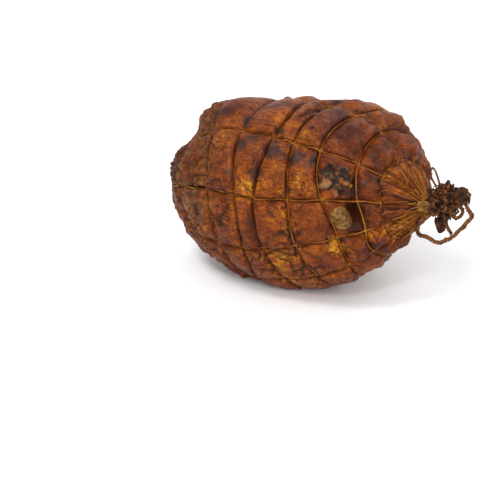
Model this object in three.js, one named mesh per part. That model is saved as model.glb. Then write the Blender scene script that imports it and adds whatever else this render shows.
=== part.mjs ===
// A boneless smoked ham in its string net, lying on its side. Millimetres, +Z up.
// X runs along the meat, the tied neck of the net points to +X, and the ham rests on Z = 0.
// Lengthwise cords and hoops of string squeeze the meat, so it puffs out between them like a quilt.
import * as THREE from "three";

const { clamp, degToRad, euclideanModulo, lerp, smoothstep } = THREE.MathUtils;

// ---- The plain form of the meat ----
const HALF_LENGTH = 89;
const HALF_DEPTH = 62;
const HALF_HEIGHT = 61;
const MIDDLE = new THREE.Vector3(-15.2, 0.4, 56.5); // the ham's own middle, with the knot beyond it
const FULLNESS = 2.15; // 2 is an ellipsoid, and more is boxier
// Broad swellings and hollows: which way they face from the middle, how wide in degrees, how high.
const SWELLINGS = [
  { faces: [0.56, 0.52, 0.62], spread: 34, rise: 11 }, // upper shoulder by the neck
  { faces: [0.1, 0.44, 0.89], spread: 9, rise: -4 }, // dip in the back
  { faces: [-0.77, -0.08, 0.68], spread: 18, rise: 10 }, // upper lobe at the heel
  { faces: [-0.86, -0.19, 0.47], spread: 13, rise: -6 }, // notch between the two heel lobes
  { faces: [-0.9, -0.35, 0.1], spread: 20, rise: 4 }, // lower lobe at the heel
  { faces: [0.75, 0.06, -0.65], spread: 26, rise: -6 }, // hollow under the neck
  { faces: [0.88, 0.24, -0.4], spread: 22, rise: -19 }, // and close to it
  { faces: [1, -0.14, 0.14], spread: 12, rise: 9 }, // cone of meat drawn into the neck
];

// ---- The net ----
const NECK_YAW = -8; // the net's own axis, turned from +X towards the front
const NECK_PITCH = 8; // and raised from the level
// Cords run from neck to heel: degrees round the net's axis, from the front (-Y) upwards.
const CORD_ANGLES = [103, 56, 18, -15, -44, -73, -106, -143, -181, -219];
// Hoops go round: degrees from the neck along the surface, and how far the top leans to the heel.
const HOOP_ANGLES = [17.5, 29.5, 45, 62, 81.5, 99.5, 116, 134, 153];
const HOOP_LEANS = [8, 8.5, 8, 5.5, 3, 3, 6, 7, 6];
const CORD_RADIUS = 0.75;
const HOOP_RADIUS = 0.65;
const NECK_START = 0.2; // where the cords leave the neck, in parts of the first net row
const HEEL_STOP = 0.7; // and where they reach the heel's tie, in parts of the last
// Where a hoop is pulled out of line: its row, the column, how wide in columns, and degrees.
const HOOP_PULLS = [
  { row: 2, column: 2.6, spread: 0.8, pull: -4.5 },
  { row: 3, column: 2.7, spread: 0.9, pull: -2.5 },
];
const PULL_REACH = 0.6; // how far a pull reaches, in rows
const CORD_WANDER = 2; // the net was stretched by hand, so its strings stray by a few degrees
const HOOP_WANDER = [0.9, 0.7];
const GAP = 0.3; // left between touching pieces

// ---- What the net does to the meat ----
const PUFF = 5.2; // how far a cell swells out between its strings
const PUFF_SQUARENESS = 2.2; // 2 swells it in a round arch, and more gives a flatter top
const PUFF_FADE = 0.6; // cells shrink towards the net's ends, and swell less
const PINCH = 1.6; // how much deeper the net bites where two strings cross
const STRING_ROOM = 3.3; // the depth of the string grooves in the flat underside
const GROOVE_START = 0.6; // where they start, in parts of the way from a cell's middle to its strings

// ---- The tied neck, and the tangle of string beyond it ----
// A sleeve of net is gathered at each end of the meat: [radius, distance] along its outline.
const NECK_OUTLINE = [[0, 0.5], [5, 0.5], [5.6, 1.2], [3.6, 2.2], [3.6, 4.2], [4.5, 5.7], [0, 5.7]];
const HEEL_OUTLINE = [[0, 1.6], [5.6, 1.6], [6.2, 2.4], [4, 3.6], [4, 6.5], [5.4, 8.5], [0, 8.5]];
const NECK_TIE = { radius: 0.8, round: 4.8, along: 3.1 };
const HEEL_TIE = { radius: 0.9, round: 5.3, along: 5.2 };
// Lumps of tangled string: middle, measured from the neck, and half sizes.
const LUMPS = {
  knot_tangle: { middle: [14, -1.5, 6], half: [9.3, 9, 10.5] },
  knot_end: { middle: [26.6, -2.5, 11.6], half: [5.1, 5, 5.4] },
  knot_drop: { middle: [13, -2, -9.3], half: [3.4, 3.4, 5.8] },
};
const LUMP_ROUGHNESS = 0.07;
// Stiff loops and ends of string: their radius, the points that they run through, measured from
// the neck, and the lumps that they come out of.
const LOOPS = {
  loop_top: {
    radius: 0.7,
    from: "knot_tangle",
    through: [[4.6, -1, 20.5], [4.4, -1.5, 25], [5.7, -1.8, 27.4], [7.5, -1.8, 25.5], [9.6, -1.8, 20.5]],
    to: "knot_tangle",
  },
  loop_low: {
    radius: 1.2,
    from: "knot_end",
    through: [[31.5, -5, 4], [34, -5.5, 1], [33, -6, -3.5], [28, -6, -9.7], [22.7, -6, -15.5],
      [18, -5.5, -20], [13.7, -5, -22.3], [9.6, -5, -21.7], [6, -5.5, -19.7], [3, -6.5, -19],
      [0.2, -8.5, -17], [-0.6, -9.5, -13], [1, -9, -9], [4.3, -7.5, -6]],
    to: "knot_tangle",
  },
  loop_side: {
    radius: 0.9,
    from: "knot_tangle",
    through: [[17.8, -7.8, -4.5], [18.8, -7.6, -8.7], [21.7, -6.5, -13.8]],
  },
  string_tip: {
    radius: 0.7,
    through: [[-6, -13, -9.6], [-5, -13, -11.4], [-3.2, -12.6, -12.4], [-1.2, -12, -12]],
  },
};
const LOOP_RING = { middle: [24.7, -6.7, 2], faces: [0.39, -0.84, 0.38], round: 3.7, radius: 0.9 };

// ---- How finely things are divided ----
const ACROSS_CELL = [0, 0.2, 0.5, 0.8];
const ALONG_CELL = [0, 0.2, 0.5, 0.8];
const CORD_STEPS = 46;
const NET_SIDES = 5;
const LOOP_SIDES = 8;
const LOOP_STEP = 4.5; // the length of a loop's straight pieces, in parts of its radius
const RING_STEPS = 20;
const SLEEVE_SIDES = 14;
const LUMP_SIDES = 16;
const LUMP_ROWS = 12;

const CORDS = CORD_ANGLES.length;
const ROW_ANGLES = [0, ...HOOP_ANGLES, 180];
const LAST_ROW = ROW_ANGLES.length - 1;
const NET_TURN = new THREE.Matrix4()
  .makeRotationZ(degToRad(NECK_YAW))
  .multiply(new THREE.Matrix4().makeRotationY(degToRad(-NECK_PITCH)));

// ---- Finishes ----
function finish(color, roughness) {
  return new THREE.MeshStandardMaterial({ color, roughness, metalness: 0 });
}

function mesh(name, geometry, material) {
  const made = new THREE.Mesh(geometry, material);
  made.name = name;
  return made;
}

// ---- The net's grid: whole rows are hoops and whole columns are cords ----
function valueAt(list, place) {
  const low = Math.min(Math.floor(place), list.length - 2);
  return lerp(list[low], list[low + 1], place - low);
}

function cordAngle(column) {
  return valueAt([...CORD_ANGLES, CORD_ANGLES[0] - 360], euclideanModulo(column, CORDS));
}

// How far a row is from the net's two ends: 0 at an end and 1 half way.
function waist(row) {
  return Math.sin(degToRad(valueAt(ROW_ANGLES, row)));
}

// The way from the middle of the ham to a place in the net.
function wayTo(row, column) {
  const plain = degToRad(cordAngle(column));
  const stray = CORD_WANDER * Math.sin(0.9 * row + 2 * Math.sin(plain));
  const around = plain + degToRad(waist(row) * stray);
  const lean =
    valueAt([0, ...HOOP_LEANS, 0], row) * Math.sin(around) +
    HOOP_WANDER[0] * Math.sin(2 * around + 1.7 * row) +
    HOOP_WANDER[1] * Math.sin(3 * around - 2.3 * row);
  let pulled = 0;
  for (const { row: hoop, column: place, spread, pull } of HOOP_PULLS) {
    const aside = (euclideanModulo(column, CORDS) - place) / spread;
    pulled += pull * Math.exp(-(aside ** 2) - ((row - hoop) / PULL_REACH) ** 2);
  }
  const polar = degToRad(valueAt(ROW_ANGLES, row) + waist(row) * lean + pulled);
  const way = new THREE.Vector3(
    Math.cos(polar),
    -Math.sin(polar) * Math.cos(around),
    Math.sin(polar) * Math.sin(around),
  );
  return way.applyMatrix4(NET_TURN);
}

function plainRadius(way) {
  const share =
    Math.abs(way.x / HALF_LENGTH) ** FULLNESS +
    Math.abs(way.y / HALF_DEPTH) ** FULLNESS +
    Math.abs(way.z / HALF_HEIGHT) ** FULLNESS;
  let radius = share ** (-1 / FULLNESS);
  for (const { faces, spread, rise } of SWELLINGS) {
    const apart = way.angleTo(new THREE.Vector3(...faces)) / degToRad(spread);
    radius += rise * Math.exp(-apart * apart);
  }
  return radius;
}

// 0 on the strings at either side of a cell and 1 in its middle.
function pillow(place) {
  const share = place - Math.floor(place);
  return 1 - Math.abs(2 * share - 1) ** PUFF_SQUARENESS;
}

// A point on the meat at a place in the net, or above it by a lift.
function surfacePoint(row, column, lift = 0) {
  const way = wayTo(row, column);
  const along = pillow(Math.min(row, LAST_ROW));
  const across = pillow(column);
  const size = waist(row) ** PUFF_FADE;
  const pinch = PINCH * (1 - along) * (1 - across) * size;
  const point = way.clone().multiplyScalar(plainRadius(way) + PUFF * along * across * size - pinch);
  point.add(MIDDLE);
  const grooves = (STRING_ROOM + pinch) * smoothstep(1 - along * across, GROOVE_START, 1);
  if (point.z > grooves) return point.addScaledVector(way, lift);
  return point.setZ(grooves - lift);
}

function placesIn(cells, within) {
  const places = [];
  for (let cell = 0; cell < cells; cell++) {
    for (const share of within) places.push(cell + share);
  }
  return places;
}

// ---- Meat: a sphere whose rows and columns are moved onto the net's grid ----
function hamMeat(material) {
  const rows = [...placesIn(LAST_ROW, ALONG_CELL), LAST_ROW];
  const columns = [...placesIn(CORDS, ACROSS_CELL), CORDS];
  const geometry = new THREE.SphereGeometry(1, columns.length - 1, rows.length - 1);
  const corners = geometry.getAttribute("position");
  rows.forEach((row, i) => {
    columns.forEach((column, j) => {
      const { x, y, z } = surfacePoint(row, column);
      corners.setXYZ(i * columns.length + j, x, y, z);
    });
  });
  return mesh("ham_meat", geometry, material);
}

// ---- Strings ----
function openString(points, radius, steps, sides) {
  const circle = new THREE.Path().absarc(0, 0, radius, 0, 2 * Math.PI, true);
  const section = new THREE.Shape(circle.getPoints(sides).slice(0, sides));
  const extrudePath = new THREE.CatmullRomCurve3(points);
  return new THREE.ExtrudeGeometry(section, { steps, extrudePath, bevelEnabled: false });
}

// A string with no ends is a torus, with each of its rings moved to the next point.
function closedString(points, radius, sides) {
  const steps = points.length;
  const path = new THREE.CatmullRomCurve3(points, true);
  const geometry = new THREE.TorusGeometry(1, 1, sides, steps);
  const corners = geometry.getAttribute("position");
  const tangent = new THREE.Vector3();
  for (let i = 0; i <= steps; i++) {
    const centre = points[i % steps];
    path.getTangent((i % steps) / steps, tangent);
    const outward = centre.clone().sub(MIDDLE);
    outward.addScaledVector(tangent, -outward.dot(tangent)).normalize();
    const sideways = outward.clone().cross(tangent);
    for (let j = 0; j <= sides; j++) {
      const turn = (2 * Math.PI * j) / sides;
      const corner = centre.clone();
      corner.addScaledVector(outward, radius * Math.cos(turn));
      corner.addScaledVector(sideways, radius * Math.sin(turn));
      corners.setXYZ(j * (steps + 1) + i, corner.x, corner.y, corner.z);
    }
  }
  return geometry;
}

const CORD_LIFT = CORD_RADIUS + 2 * GAP;
const HOOP_LIFT = HOOP_RADIUS + 2 * GAP;
const OVER_CORD = CORD_LIFT + CORD_RADIUS + 4 * GAP + HOOP_RADIUS;

function cordString(column, material) {
  const points = [];
  for (let row = NECK_START; row <= LAST_ROW - 1 + HEEL_STOP; row += 0.2) {
    points.push(surfacePoint(row, column, CORD_LIFT));
  }
  const geometry = openString(points, CORD_RADIUS, CORD_STEPS, NET_SIDES);
  return mesh(`net_cord_${column + 1}`, geometry, material);
}

// A hoop lies on the meat and passes over each cord.
function hoopString(row, material) {
  const points = placesIn(CORDS, ACROSS_CELL).map((column) => {
    const beside = Math.abs(column - Math.round(column));
    const lift = lerp(OVER_CORD, HOOP_LIFT, clamp(beside / ACROSS_CELL[1], 0, 1));
    return surfacePoint(row, column, lift);
  });
  return mesh(`net_hoop_${row}`, closedString(points, HOOP_RADIUS, NET_SIDES), material);
}

// ---- Neck, heel and knot ----
// Stands a piece on the end of the meat, with its own Y pointing away from the middle.
function atEnd(made, end, along = 0) {
  made.position.copy(surfacePoint(end, 0, along));
  made.quaternion.setFromUnitVectors(new THREE.Vector3(0, 1, 0), wayTo(end, 0));
  return made;
}

function gatheredSleeve(name, outline, end, material) {
  const profile = outline.map(([radius, along]) => new THREE.Vector2(radius, along));
  return atEnd(mesh(name, new THREE.LatheGeometry(profile, SLEEVE_SIDES), material), end);
}

function roundTie(name, { radius, round, along }, end, material) {
  const ring = new THREE.TorusGeometry(round, radius, NET_SIDES, RING_STEPS).rotateX(Math.PI / 2);
  return atEnd(mesh(name, ring, material), end, along);
}

const NECK = surfacePoint(0, 0);

// A lump is a ball with a rough surface, squashed to its half sizes.
function tangledLump(name, { middle, half }, material) {
  const geometry = new THREE.SphereGeometry(1, LUMP_SIDES, LUMP_ROWS);
  const corners = geometry.getAttribute("position");
  const corner = new THREE.Vector3();
  for (let i = 0; i < corners.count; i++) {
    corner.fromBufferAttribute(corners, i);
    const rough = Math.sin(5 * corner.x + 1) * Math.sin(6 * corner.y) * Math.cos(5 * corner.z);
    corner.multiplyScalar(1 - LUMP_ROUGHNESS * (1 - rough));
    corners.setXYZ(i, corner.x, corner.y, corner.z);
  }
  geometry.scale(...half).translate(...middle);
  const made = mesh(name, geometry, material);
  made.position.copy(NECK);
  return made;
}

// Where a string that heads for a point comes out of a lump.
function outOf(name, towards) {
  const middle = new THREE.Vector3(...LUMPS[name].middle);
  const way = towards.clone().sub(middle);
  const share = 1 / way.clone().divide(new THREE.Vector3(...LUMPS[name].half)).length();
  return middle.addScaledVector(way, share + GAP / way.length());
}

function stiffLoop(name, { radius, from, through, to }, material) {
  const points = through.map((point) => new THREE.Vector3(...point));
  if (from) points.unshift(outOf(from, points[0]));
  if (to) points.push(outOf(to, points.at(-1)));
  const length = new THREE.CatmullRomCurve3(points).getLength();
  const steps = Math.round(length / (LOOP_STEP * radius));
  const made = mesh(name, openString(points, radius, steps, LOOP_SIDES), material);
  made.position.copy(NECK);
  return made;
}

function loopRing({ middle, faces, round, radius }, material) {
  const ring = mesh("loop_ring", new THREE.TorusGeometry(round, radius, LOOP_SIDES, RING_STEPS), material);
  ring.quaternion.setFromUnitVectors(new THREE.Vector3(0, 0, 1), new THREE.Vector3(...faces).normalize());
  ring.position.copy(NECK).add(new THREE.Vector3(...middle));
  return ring;
}

const ham = new THREE.Group();
const meatSkin = finish(0x7a3c14, 0.45);
const netString = finish(0xa8702c, 0.7);
const darkString = finish(0x3a2312, 0.8);

ham.add(hamMeat(meatSkin));
for (let column = 0; column < CORDS; column++) ham.add(cordString(column, netString));
for (let row = 1; row < LAST_ROW; row++) ham.add(hoopString(row, netString));
ham.add(gatheredSleeve("neck_sleeve", NECK_OUTLINE, 0, netString));
ham.add(roundTie("neck_tie", NECK_TIE, 0, darkString));
ham.add(gatheredSleeve("heel_sleeve", HEEL_OUTLINE, LAST_ROW, netString));
ham.add(roundTie("heel_tie", HEEL_TIE, LAST_ROW, darkString));
for (const [name, lump] of Object.entries(LUMPS)) ham.add(tangledLump(name, lump, darkString));
for (const [name, loop] of Object.entries(LOOPS)) ham.add(stiffLoop(name, loop, netString));
ham.add(loopRing(LOOP_RING, netString));

export default ham;
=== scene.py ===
"""The looks of a boneless smoked ham in its string net.

The net makes a grid on the meat: whole rows are hoops, from the neck (0) to the heel (10), and
whole columns are the lengthwise cords (0 to 9, and 10 closes on 0). Every piece of the surface is
made at a place in that grid. Sizes are millimetres here, and metres in the meshes.
"""

import logging
import math
from dataclasses import dataclass
from enum import Enum

import bmesh
import bpy
import numpy as np
from mathutils import Matrix, Vector, noise

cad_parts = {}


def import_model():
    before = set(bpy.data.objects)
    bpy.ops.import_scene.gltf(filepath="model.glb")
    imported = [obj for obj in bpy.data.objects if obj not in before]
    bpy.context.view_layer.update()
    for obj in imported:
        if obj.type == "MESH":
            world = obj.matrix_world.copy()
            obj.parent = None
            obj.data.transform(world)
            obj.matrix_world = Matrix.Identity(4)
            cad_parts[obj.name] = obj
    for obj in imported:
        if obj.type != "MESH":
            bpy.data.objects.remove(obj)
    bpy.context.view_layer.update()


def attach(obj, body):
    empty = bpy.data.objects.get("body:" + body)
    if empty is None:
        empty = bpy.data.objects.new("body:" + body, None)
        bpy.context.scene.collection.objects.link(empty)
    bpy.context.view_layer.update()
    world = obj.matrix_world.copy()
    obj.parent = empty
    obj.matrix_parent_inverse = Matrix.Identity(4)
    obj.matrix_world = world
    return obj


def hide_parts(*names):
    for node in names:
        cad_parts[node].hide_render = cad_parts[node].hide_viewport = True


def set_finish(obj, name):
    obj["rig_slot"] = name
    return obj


LOG = logging.getLogger("smoked_ham")
MM = 0.001
SPAN_POINTS = 12  # points between two that a smooth line runs through, before they are evened
ROOT = "root"

Colour = tuple[float, float, float]
Stops = tuple[tuple[float, Colour], ...]
Socket = bpy.types.NodeSocket


class Slot(Enum):
    """The material slots."""

    SKIN = "smoked_skin"
    NET = "net_string"
    DARK = "dark_string"


# ---------------------------------------------------------------- the form and its net


@dataclass(frozen=True)
class Swelling:
    """A broad swelling or hollow of the meat.

    Args:
        faces: the way it faces from the middle of the ham.
        spread: its width in degrees.
        rise: its height in millimetres, below 0 for a hollow.
    """

    faces: tuple[float, float, float]
    spread: float
    rise: float


@dataclass(frozen=True)
class HamForm:
    """Driving sizes of the meat and its net, as in the CAD part, with livelier hoops."""

    half: tuple[float, float, float] = (89, 62, 61)
    middle: tuple[float, float, float] = (-15.2, 0.4, 56.5)
    fullness: float = 2.15
    swellings: tuple[Swelling, ...] = (
        Swelling((0.56, 0.52, 0.62), 34, 11),
        Swelling((0.1, 0.44, 0.89), 9, -4),
        Swelling((-0.77, -0.08, 0.68), 18, 10),
        Swelling((-0.86, -0.19, 0.47), 13, -6),
        Swelling((-0.9, -0.35, 0.1), 20, 4),
        Swelling((0.75, 0.06, -0.65), 26, -6),
        Swelling((0.88, 0.24, -0.4), 22, -19),
        Swelling((1, -0.14, 0.14), 12, 9),
    )
    net_yaw: float = -8
    net_pitch: float = 8
    cord_angles: tuple[float, ...] = (103, 56, 18, -15, -44, -73, -106, -143, -181, -219)
    hoop_angles: tuple[float, ...] = (17.5, 29.5, 45, 62, 81.5, 99.5, 116, 134, 153)
    hoop_leans: tuple[float, ...] = (8, 8.5, 8, 5.5, 3, 3, 6, 7, 6)
    cord_wander: float = 2
    hoop_wander: tuple[float, float] = (2.2, 1.7)
    # Where a hoop is pulled out of line: row, column, width in columns, degrees.
    hoop_pulls: tuple[tuple[float, float, float, float], ...] = (
        (2, 2.6, 0.8, -4.5),
        (3, 2.7, 0.9, -2.5),
    )
    pull_reach: float = 0.6
    puff_fade: float = 0.6
    arch_steep: float = 2.2
    string_room: float = 3.3
    groove_room: float = 1.6
    groove_start: float = 0.6


class NetGrid:
    """Turns places in the net, as rows and columns, into points on the meat."""

    def __init__(self, form: HamForm) -> None:
        """Args:
            form: the driving sizes.
        """
        self.form = form
        self.middle = np.array(form.middle)
        self.cords = len(form.cord_angles)
        self.last_row = len(form.hoop_angles) + 1
        self.row_angles = np.array([0, *form.hoop_angles, 180])
        self.leans = np.array([0, *form.hoop_leans, 0])
        self.cord_angles = np.array([*form.cord_angles, form.cord_angles[0] - 360])
        turn = Matrix.Rotation(math.radians(form.net_yaw), 3, "Z")
        turn = turn @ Matrix.Rotation(math.radians(-form.net_pitch), 3, "Y")
        self.turn = np.array(turn)

    def waist(self, rows: np.ndarray) -> np.ndarray:
        """Returns 0 at the net's ends and 1 half way between them."""
        return np.sin(np.radians(np.interp(rows, np.arange(self.last_row + 1), self.row_angles)))

    def ways(self, rows: np.ndarray, cols: np.ndarray) -> np.ndarray:
        """Returns the ways, as unit vectors, from the middle of the ham to places in the net."""
        form = self.form
        cols = np.mod(cols, self.cords)
        steps = np.arange(self.last_row + 1)
        plain = np.radians(np.interp(cols, np.arange(self.cords + 1), self.cord_angles))
        stray = form.cord_wander * np.sin(0.9 * rows + 2 * np.sin(plain))
        waist = self.waist(rows)
        around = plain + np.radians(waist * stray)
        lean = (
            np.interp(rows, steps, self.leans) * np.sin(around)
            + form.hoop_wander[0] * np.sin(2 * around + 1.7 * rows)
            + form.hoop_wander[1] * np.sin(3 * around - 2.3 * rows)
        )
        pulled = sum(
            pull * fade(cols - place, spread) * fade(rows - hoop, form.pull_reach)
            for hoop, place, spread, pull in form.hoop_pulls
        )
        polar = np.radians(np.interp(rows, steps, self.row_angles) + waist * lean + pulled)
        flat = np.sin(polar)
        ways = np.stack([np.cos(polar), -flat * np.cos(around), flat * np.sin(around)], -1)
        return ways @ self.turn.T

    def plain_radius(self, ways: np.ndarray) -> np.ndarray:
        """Returns how far the plain meat, before the net squeezes it, reaches each way."""
        form = self.form
        share = sum(np.abs(ways[..., i] / form.half[i]) ** form.fullness for i in range(3))
        radius = share ** (-1 / form.fullness)
        for swelling in form.swellings:
            radius = radius + swelling.rise * self.near(ways, swelling.faces, swelling.spread)
        return radius

    @staticmethod
    def near(ways: np.ndarray, faces: tuple[float, float, float], spread: float) -> np.ndarray:
        """Returns 1 where a way is the one faced, fading to 0 some degrees off."""
        facing = np.array(faces) / np.linalg.norm(faces)
        return fade(np.degrees(np.arccos(np.clip(ways @ facing, -1, 1))), spread)

    def plain(self, rows: np.ndarray, cols: np.ndarray) -> np.ndarray:
        """Returns points on the plain meat."""
        ways = self.ways(rows, cols)
        return self.middle + ways * self.plain_radius(ways)[..., None]

    def cell_sizes(self, rows: np.ndarray, cols: np.ndarray) -> tuple[np.ndarray, np.ndarray]:
        """Returns the length along and width across of a net cell at each place."""
        reach = 0.04
        low, high = np.clip(rows - reach, 0, self.last_row), np.clip(rows + reach, 0, self.last_row)
        along = np.linalg.norm(self.plain(high, cols) - self.plain(low, cols), axis=-1)
        across = np.linalg.norm(
            self.plain(rows, cols + reach) - self.plain(rows, cols - reach), axis=-1
        )
        return along / (high - low), across / (2 * reach)


def bumps(points: np.ndarray, size: float, seed: float) -> np.ndarray:
    """Smooth noise that is the same in every run.

    Args:
        points: places, in millimetres.
        size: the distance between bumps.
        seed: picks one of many patterns.

    Returns:
        A value from about -1 to 1 at each point.
    """
    moved = points / size + np.array([17.3, -9.1, 5.7]) * seed
    return np.array([noise.noise(place) for place in moved.tolist()])


def smooth(value: np.ndarray, low: float, high: float) -> np.ndarray:
    """Returns 0 below low and 1 above high, with a smooth step between them."""
    share = np.clip((value - low) / (high - low), 0, 1)
    return share * share * (3 - 2 * share)


def fade(apart: np.ndarray, width: float | np.ndarray) -> np.ndarray:
    """Returns 1 where a distance is 0, fading to 0 at about twice the width."""
    return np.exp(-((apart / width) ** 2))


class Places:
    """Places in the net, with what the relief needs to know about each of them."""

    def __init__(self, grid: NetGrid, rows: np.ndarray, cols: np.ndarray) -> None:
        """Args:
            grid: the net's grid on the meat.
            rows: the places' rows.
            cols: the places' columns.
        """
        self.rows, self.cols = rows, cols
        self.ways = grid.ways(rows, cols)
        self.radius = grid.plain_radius(self.ways)
        self.plain = grid.middle + self.ways * self.radius[:, None]
        self.along, self.across = grid.cell_sizes(rows, cols)
        # Millimetres to the nearest hoop and cord, below 0 on the side of the lower number.
        self.hoop_gap = (rows - np.clip(np.round(rows), 1, grid.last_row - 1)) * self.along
        self.cord_gap = (cols - np.round(cols)) * self.across
        self.hoop, self.cord = np.abs(self.hoop_gap), np.abs(self.cord_gap)
        # The arch is 0 on the strings and 1 in the middle of a cell.
        self.in_row, self.in_col = rows % 1, cols % 1
        steep = grid.form.arch_steep
        self.arch = 1 - np.abs(2 * self.in_row - 1) ** steep
        self.arch = self.arch * (1 - np.abs(2 * self.in_col - 1) ** steep)
        self.waist = grid.waist(rows)
        self.size = self.waist**grid.form.puff_fade

    def on_strings(self, width: float | np.ndarray) -> np.ndarray:
        """Returns 1 on the strings, fading to 0 beside them."""
        return np.maximum(fade(self.hoop, width), fade(self.cord, width))


# ---------------------------------------------------------------- the skin's relief


@dataclass(frozen=True)
class Spot:
    """A round patch on the skin.

    Args:
        row: its place in the net, in rows.
        col: its place in columns.
        size: its radius in millimetres.
        much: its depth, height or strength.
    """

    row: float
    col: float
    size: float
    much: float


@dataclass(frozen=True)
class Fold:
    """A crease that runs through places in the net.

    Args:
        places: (row, column) points on its line.
        width: half its width in millimetres.
        depth: how deep it bites.
    """

    places: tuple[tuple[float, float], ...]
    width: float
    depth: float


# Soft edges that lie off the net, for a region that has no edge on that side.
START = (-2.0, -1.0)
END = (11.0, 12.0)


@dataclass(frozen=True)
class Region:
    """A part of the skin with soft edges.

    Args:
        rows: where it starts, is full, begins to fade and ends, in rows.
        cols: the same in columns.
        much: its strength.
    """

    rows: tuple[float, float, float, float] = (*START, *END)
    cols: tuple[float, float, float, float] = (*START, *END)
    much: float = 1

    def share(self, at: Places) -> np.ndarray:
        """Returns its strength inside, fading to 0 outside."""
        share = np.full(len(at.rows), float(self.much))
        for place, (start, full, last, end) in ((at.rows, self.rows), (at.cols, self.cols)):
            share = share * smooth(place, start, full) * smooth(end - place, 0, end - last)
        return share


@dataclass(frozen=True)
class SkinRelief:
    """Sizes of everything that breaks the smooth surface of the meat."""

    puff: float = 4.6
    neck_puff: float = 0.75
    cell_lean: float = 2.6
    pleat_height: float = 2.5
    round_share: float = 0.5
    tight_reach: float = 2.6
    string_bite: float = 1.6
    string_width: float = 0.85
    crack_depth: float = 1.2
    crack_place: float = 0.95
    crack_width: float = 0.38
    cord_crack_place: float = 1.1
    cord_crack_width: float = 0.45
    string_shade: float = 0.65
    spot_steep: float = 2.6
    dark_depth: float = 1.2
    cell_variation: float = 0.16
    hollows: tuple[Spot, ...] = (
        Spot(2.42, 2.4, 12.5, -4.2),
        Spot(2.1, 2.28, 6.6, -6.0),
        Spot(2.64, 2.44, 6.4, 5.6),
        Spot(2.62, 1.32, 3.2, -3.0),
        Spot(2.32, 1.82, 3.4, -3.2),
        Spot(2.1, 1.36, 3.0, -2.2),
        Spot(2.92, 3.1, 1.9, -2.4),
        Spot(3.52, 0.72, 1.5, -1.3),
        Spot(3.84, 2.68, 2.0, -1.2),
        Spot(2.45, 1.5, 4.2, 1.4),
        Spot(1.5, 1.62, 7.0, 1.8),
        Spot(1.0, 2.5, 6.0, 1.0),
        Spot(4.1, 0.12, 5.5, -4.6),
        Spot(3.75, 9.75, 7.0, 2.4),
        Spot(5.8, 0.05, 3.5, 2.2),
        Spot(7.62, 0.76, 8.0, 3.4),
        Spot(7.5, 1.04, 4.2, -3.4),
        Spot(8.35, 1.2, 8.0, 1.8),
    )
    folds: tuple[Fold, ...] = (
        Fold(((6.9, 0.35), (7.1, 0.8), (7.3, 1.0), (7.2, 1.24), (7.4, 1.48)), 1.8, 3.0),
        Fold(((6.85, 1.1), (6.9, 1.3), (6.4, 1.42), (6.2, 1.2)), 0.9, 1.1),
        Fold(((4.08, 2.56), (3.95, 2.85), (3.8, 3.04)), 0.9, 1.3),
        Fold(((5.25, 2.2), (5.2, 2.5), (5.08, 2.92), (5.3, 3.2)), 1.0, 1.4),
        Fold(((3.6, 2.04), (3.75, 2.3), (3.96, 2.6)), 0.8, 0.8),
        Fold(((1.96, 1.35), (2.08, 1.6), (2.12, 1.9)), 1.2, 2.2),
        Fold(((7.9, 1.6), (7.5, 1.9), (7.3, 2.3), (7.5, 2.8)), 1.3, 2.0),
        Fold(((8.3, 1.9), (8.0, 2.3), (8.2, 2.8)), 1.2, 1.6),
        Fold(((7.1, 0.2), (7.4, 0.4), (7.8, 0.45)), 1.3, 1.6),
        Fold(((3.9, 3.1), (3.6, 3.4), (3.65, 3.8)), 1.0, 1.3),
        Fold(((2.9, 3.2), (2.6, 3.5), (2.7, 3.9)), 1.0, 1.3),
        Fold(((4.6, 3.2), (4.3, 3.4), (4.5, 3.9)), 1.0, 1.2),
        Fold(((1.7, 3.1), (1.6, 3.5), (1.75, 3.9)), 0.9, 1.0),
        Fold(((4.45, 0.6), (4.2, 0.3), (4.05, 0.02)), 2.0, 2.8),
        Fold(((4.05, 9.98), (4.2, 9.6), (4.4, 9.2)), 2.0, 2.8),
        Fold(((5.5, 7.2), (5.2, 7.6), (5.4, 8.1)), 1.1, 1.5),
        Fold(((3.4, 8.2), (3.1, 8.5), (3.3, 8.9)), 1.1, 1.4),
        Fold(((6.6, 8.1), (6.2, 8.5), (6.5, 8.8)), 1.0, 1.3),
    )
    torn: Spot = Spot(2.5, 1.54, 11.5, 0)
    tan: Spot = Spot(2.64, 2.44, 7.4, 0)
    # Where the pit's hollow gets painted shade.
    pit_shade: Spot = Spot(2.14, 2.3, 8.6, 0)
    neck_cells: Region = Region(rows=(*START, 2.6, 3.6))
    pressed: Region = Region(rows=(2.8, 3.5, *END))
    facing: Region = Region(cols=(0.7, 1.3, 5, 6))
    front: Region = Region(rows=(2.6, 3.4, *END), cols=(1.2, 1.8, 4.5, 5.5))
    right: Region = Region(rows=(0.5, 1.2, 2.8, 3.6))
    heel: Region = Region(rows=(6.4, 7.6, *END))
    olive: Region = Region(rows=(6.4, 7.6, 7.5, 8.4), cols=(0, 0.9, 2.2, 3.2))
    pleats_at_neck: float = 1.9
    pleats_at_heel: float = 8.7


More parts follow.
